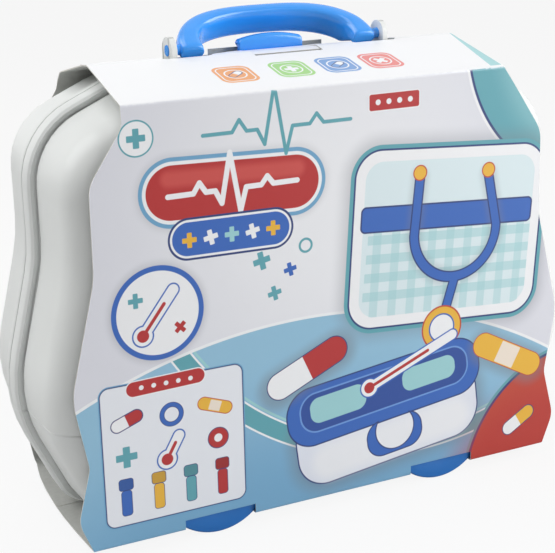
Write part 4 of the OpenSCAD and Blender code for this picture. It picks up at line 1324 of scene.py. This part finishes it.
even_run = 2 * LATCH_HALF - 2 * EVEN_START
stations = [-LATCH_HALF + near for near in NEAR_END]
stations += [-LATCH_HALF + EVEN_START + index * even_run / LIFT_STATIONS
             for index in range(LIFT_STATIONS + 1)]
stations += [LATCH_HALF - near for near in reversed(NEAR_END)]
bm = bmesh.new()
swept(bm, [lift_section(x) for x in stations])
print("lift", len(bm.faces), "faces")

# %% The latch's barrel and plate
BARREL_R, BARREL_Y, BARREL_Z = 2.0, -6.0, 209.6
PLATE_END, PLATE_LOW, PLATE_HIGH = LIFT_Y + 0.5, 208.5, 211.9
rod_along_x(bm, BARREL_R, -LATCH_HALF, LATCH_HALF, BARREL_Y, BARREL_Z)
plate = [Vector((0, y, z)) for y, z in ((BARREL_Y, PLATE_LOW), (PLATE_END, PLATE_LOW),
                                        (PLATE_END, PLATE_HIGH), (BARREL_Y, PLATE_HIGH))]
swept(bm, [[point + Vector((x, 0, 0)) for point in plate] for x in (-LATCH_HALF, LATCH_HALF)])
place_all(bm, Matrix.Scale(MM, 4))
latch = make_piece("latch_moulding", bm, [blue], "latch", sharp=40.0)
add_modifier(latch, "BEVEL", width=0.4 * MM, segments=2, limit_method="ANGLE", angle_limit=radians(60))

# %% [markdown]
# ## The lid's backdrop
# Inside the lid a printed card stands behind the rack. It shows a plain clinic wall: pale tiles,
# an aqua band with a pulse line, a small board and two round signs. The card is flat and stands
# upright, so its map is simply the place of each point across and up.

# %% The backdrop's design
def paint_backdrop(sheet):
    """A tiled clinic wall."""
    for row in range(7):
        sheet.paint(sheet.box(0, 72 + 18 * row, 140, 0.5, 0.2), SKY)
    for column in range(15):
        sheet.paint(sheet.box(-112 + 16 * column, 130, 0.5, 80, 0.2), SKY)
    sheet.outlined(sheet.box(0, 170, 78, 14, 6), AQUA, (1.4, CLEAN), (0.8, NAVY))
    pulse(sheet, -31, 169, 1.45, 2.2, CLEAN)
    for x in (-96, 96):
        sheet.outlined(sheet.disc(x, 150, 8.5), ORANGE_RED, (1.0, CLEAN))
        plus(sheet, x, 150, 5.0, CLEAN, 45.0)
    sheet.outlined(sheet.box(0, 96, 20, 22, 3), CLEAN, (1.0, NAVY))
    pulse(sheet, -15, 100, 0.72, 1.0, INK_RED)
    thermometer(sheet, 0, 84, 22, 0.0)


finish = Finish("printed backdrop", seen(224, 240, 244), 0.4, Coat_Weight=0.15, Coat_Roughness=0.3)
wall = Print(finish, seen(224, 240, 244))
paint_backdrop(wall)
fibres = finish.noise(finish.place(), FIBRE_SCALE, 3.0)
finish.set("Base Color", wall.colour)
finish.set("Roughness", 0.4 + (fibres - 0.5) * 0.1)
print(finish.material.name, wall.count, "shapes")

# %% The backdrop card
bm = bmesh.new()
bm.from_mesh(frame["nodes"]["backdrop_card"].data)
bmesh.ops.remove_doubles(bm, verts=bm.verts, dist=2e-6)
sheet = bm.loops.layers.uv.new("sheet")
for face in bm.faces:
    for loop in face.loops:
        loop[sheet].uv = (loop.vert.co.x, loop.vert.co.z)
make_piece("backdrop_print", bm, [finish.material], "backdrop_card")

# %% [markdown]
# ## Studio
# The photograph has a white ground and soft light from above. One large lamp at the front right
# lights the printed panel, one behind on the left lights the shell's side and its shoulder, and
# one above whitens the top panel. The world adds a weak even light. The floor must look white
# without lighting the object from below, so what the camera sees of it is mostly a white glow,
# mixed with a little of the shaded floor, which keeps the object's shadow.

# %% Floor
FLOOR_DARK, FLOOR_PALE, FLOOR_GLOW = 0.62, 0.66, 0.9


def studio_floor():
    """The floor's finish: a white glow for the camera, plain grey for the light."""
    finish = Finish("studio floor", (0.65, 0.65, 0.65), 0.7)
    camera_ray = finish.node("ShaderNodeLightPath")
    glow = finish.node("ShaderNodeEmission", None, {"Color": (1.0, 1.0, 1.0, 1.0), "Strength": 1.0})
    grain = finish.noise(finish.place(), 3.0)
    finish.set("Base Color", finish.mix(grain, (*[FLOOR_DARK] * 3, 1.0), (*[FLOOR_PALE] * 3, 1.0)))
    shaded = Wire(finish, finish.shader.outputs[0])
    both = finish.node("ShaderNodeMixShader", None, {0: camera_ray * FLOOR_GLOW, 1: shaded, 2: glow})
    output = finish.tree.nodes["Material Output"]
    finish.tree.links.new(both.socket, output.inputs["Surface"])
    return finish.material


bm = bmesh.new()
bmesh.ops.create_grid(bm, x_segments=4, y_segments=4, size=3.0)
floor_mesh = bpy.data.meshes.new("floor")
bm.to_mesh(floor_mesh)
bm.free()
floor = bpy.data.objects.new("floor", floor_mesh)
floor_mesh.materials.append(studio_floor())
bpy.context.scene.collection.objects.link(floor)
floor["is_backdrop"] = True
print("floor", len(floor_mesh.polygons), "faces")

# %% World
WORLD_LIGHT = 0.13


class Sky(Finish):
    """The world's nodes, written with the same wires as a material's."""

    def __init__(self, name):
        self.material = bpy.data.worlds.new(name)
        self.material.use_nodes = True
        self.tree = self.material.node_tree
        self.shader = self.tree.nodes["Background"]


studio = Sky("studio")
rays = [studio.node("ShaderNodeLightPath", output=kind)
        for kind in ("Is Camera Ray", "Is Glossy Ray", "Is Transmission Ray")]
studio.set("Color", (1.0, 1.0, 1.0, 1.0))
studio.set("Strength", rays[0].larger(rays[1]).larger(rays[2]) * (1.0 - WORLD_LIGHT) + WORLD_LIGHT)
bpy.context.scene.world = studio.material
print("world light", WORLD_LIGHT)

# %% Lamps
AIM = Vector((0.0, 0.0, 0.11))


def lamp(name, azimuth, elevation, distance, size, power):
    """A square soft lamp, aimed at the case; azimuth 0 is in front of it and 90 on its right."""
    turn, lift = radians(azimuth), radians(elevation)
    away = Vector((sin(turn) * cos(lift), -cos(turn) * cos(lift), sin(lift)))
    data = bpy.data.lights.new(name, "AREA")
    data.shape = "SQUARE"
    data.size = size
    data.energy = power
    made = bpy.data.objects.new(name, data)
    turned = away.to_track_quat("Z", "Y").to_matrix().to_4x4()
    made.matrix_world = Matrix.Translation(AIM + away * distance) @ turned
    bpy.context.scene.collection.objects.link(made)


lamp("front right lamp", 54.0, 19.0, 1.3, 0.9, 15.0)
lamp("back left lamp", -112.0, 42.0, 1.3, 1.0, 9.2)
lamp("top lamp", -90.0, 76.0, 1.2, 0.8, 4.2)
print("lamps", [(light.name, light.energy) for light in bpy.data.lights])

# %% [markdown]
# ## Camera
# The camera's place and turn were solved from the sleeve's corners in the photograph. The frame
# is 555 pixels wide, and a focal length of 1350 pixels is an 87.6 mm lens on a 36 mm sensor.

# %% Camera at the photograph's view
FOCAL_PIXELS, FRAME_PIXELS, SENSOR = 1350.0, 555.0, 36.0
CAMERA_PLACE = (-0.27938, -0.5696, 0.2993)
camera_turn, camera_lift, camera_roll = radians(-25.807), radians(17.3186), radians(-1.2733)
flat = cos(camera_lift)
back = Vector((sin(camera_turn) * flat, -cos(camera_turn) * flat, sin(camera_lift)))
level = Vector((cos(camera_turn), sin(camera_turn), 0.0))
up = back.cross(level)
right = cos(camera_roll) * level + sin(camera_roll) * up
up = -sin(camera_roll) * level + cos(camera_roll) * up
camera_data = bpy.data.cameras.new("camera")
camera_data.sensor_width = SENSOR
camera_data.lens = FOCAL_PIXELS * SENSOR / FRAME_PIXELS
camera = bpy.data.objects.new("camera", camera_data)
turned = Matrix((right, up, back)).transposed().to_4x4()
camera.matrix_world = Matrix.Translation(CAMERA_PLACE) @ turned
bpy.context.scene.collection.objects.link(camera)
bpy.context.scene.camera = camera
bpy.context.scene.view_settings.view_transform = "Standard"
print("camera lens", round(camera_data.lens, 1), "mm")

# %% [markdown]
# ## Sizes
# The looks must not change the size of the object, so its box is printed as it is now.

# %% Print the box as it is now
print("visual box", plain_box())
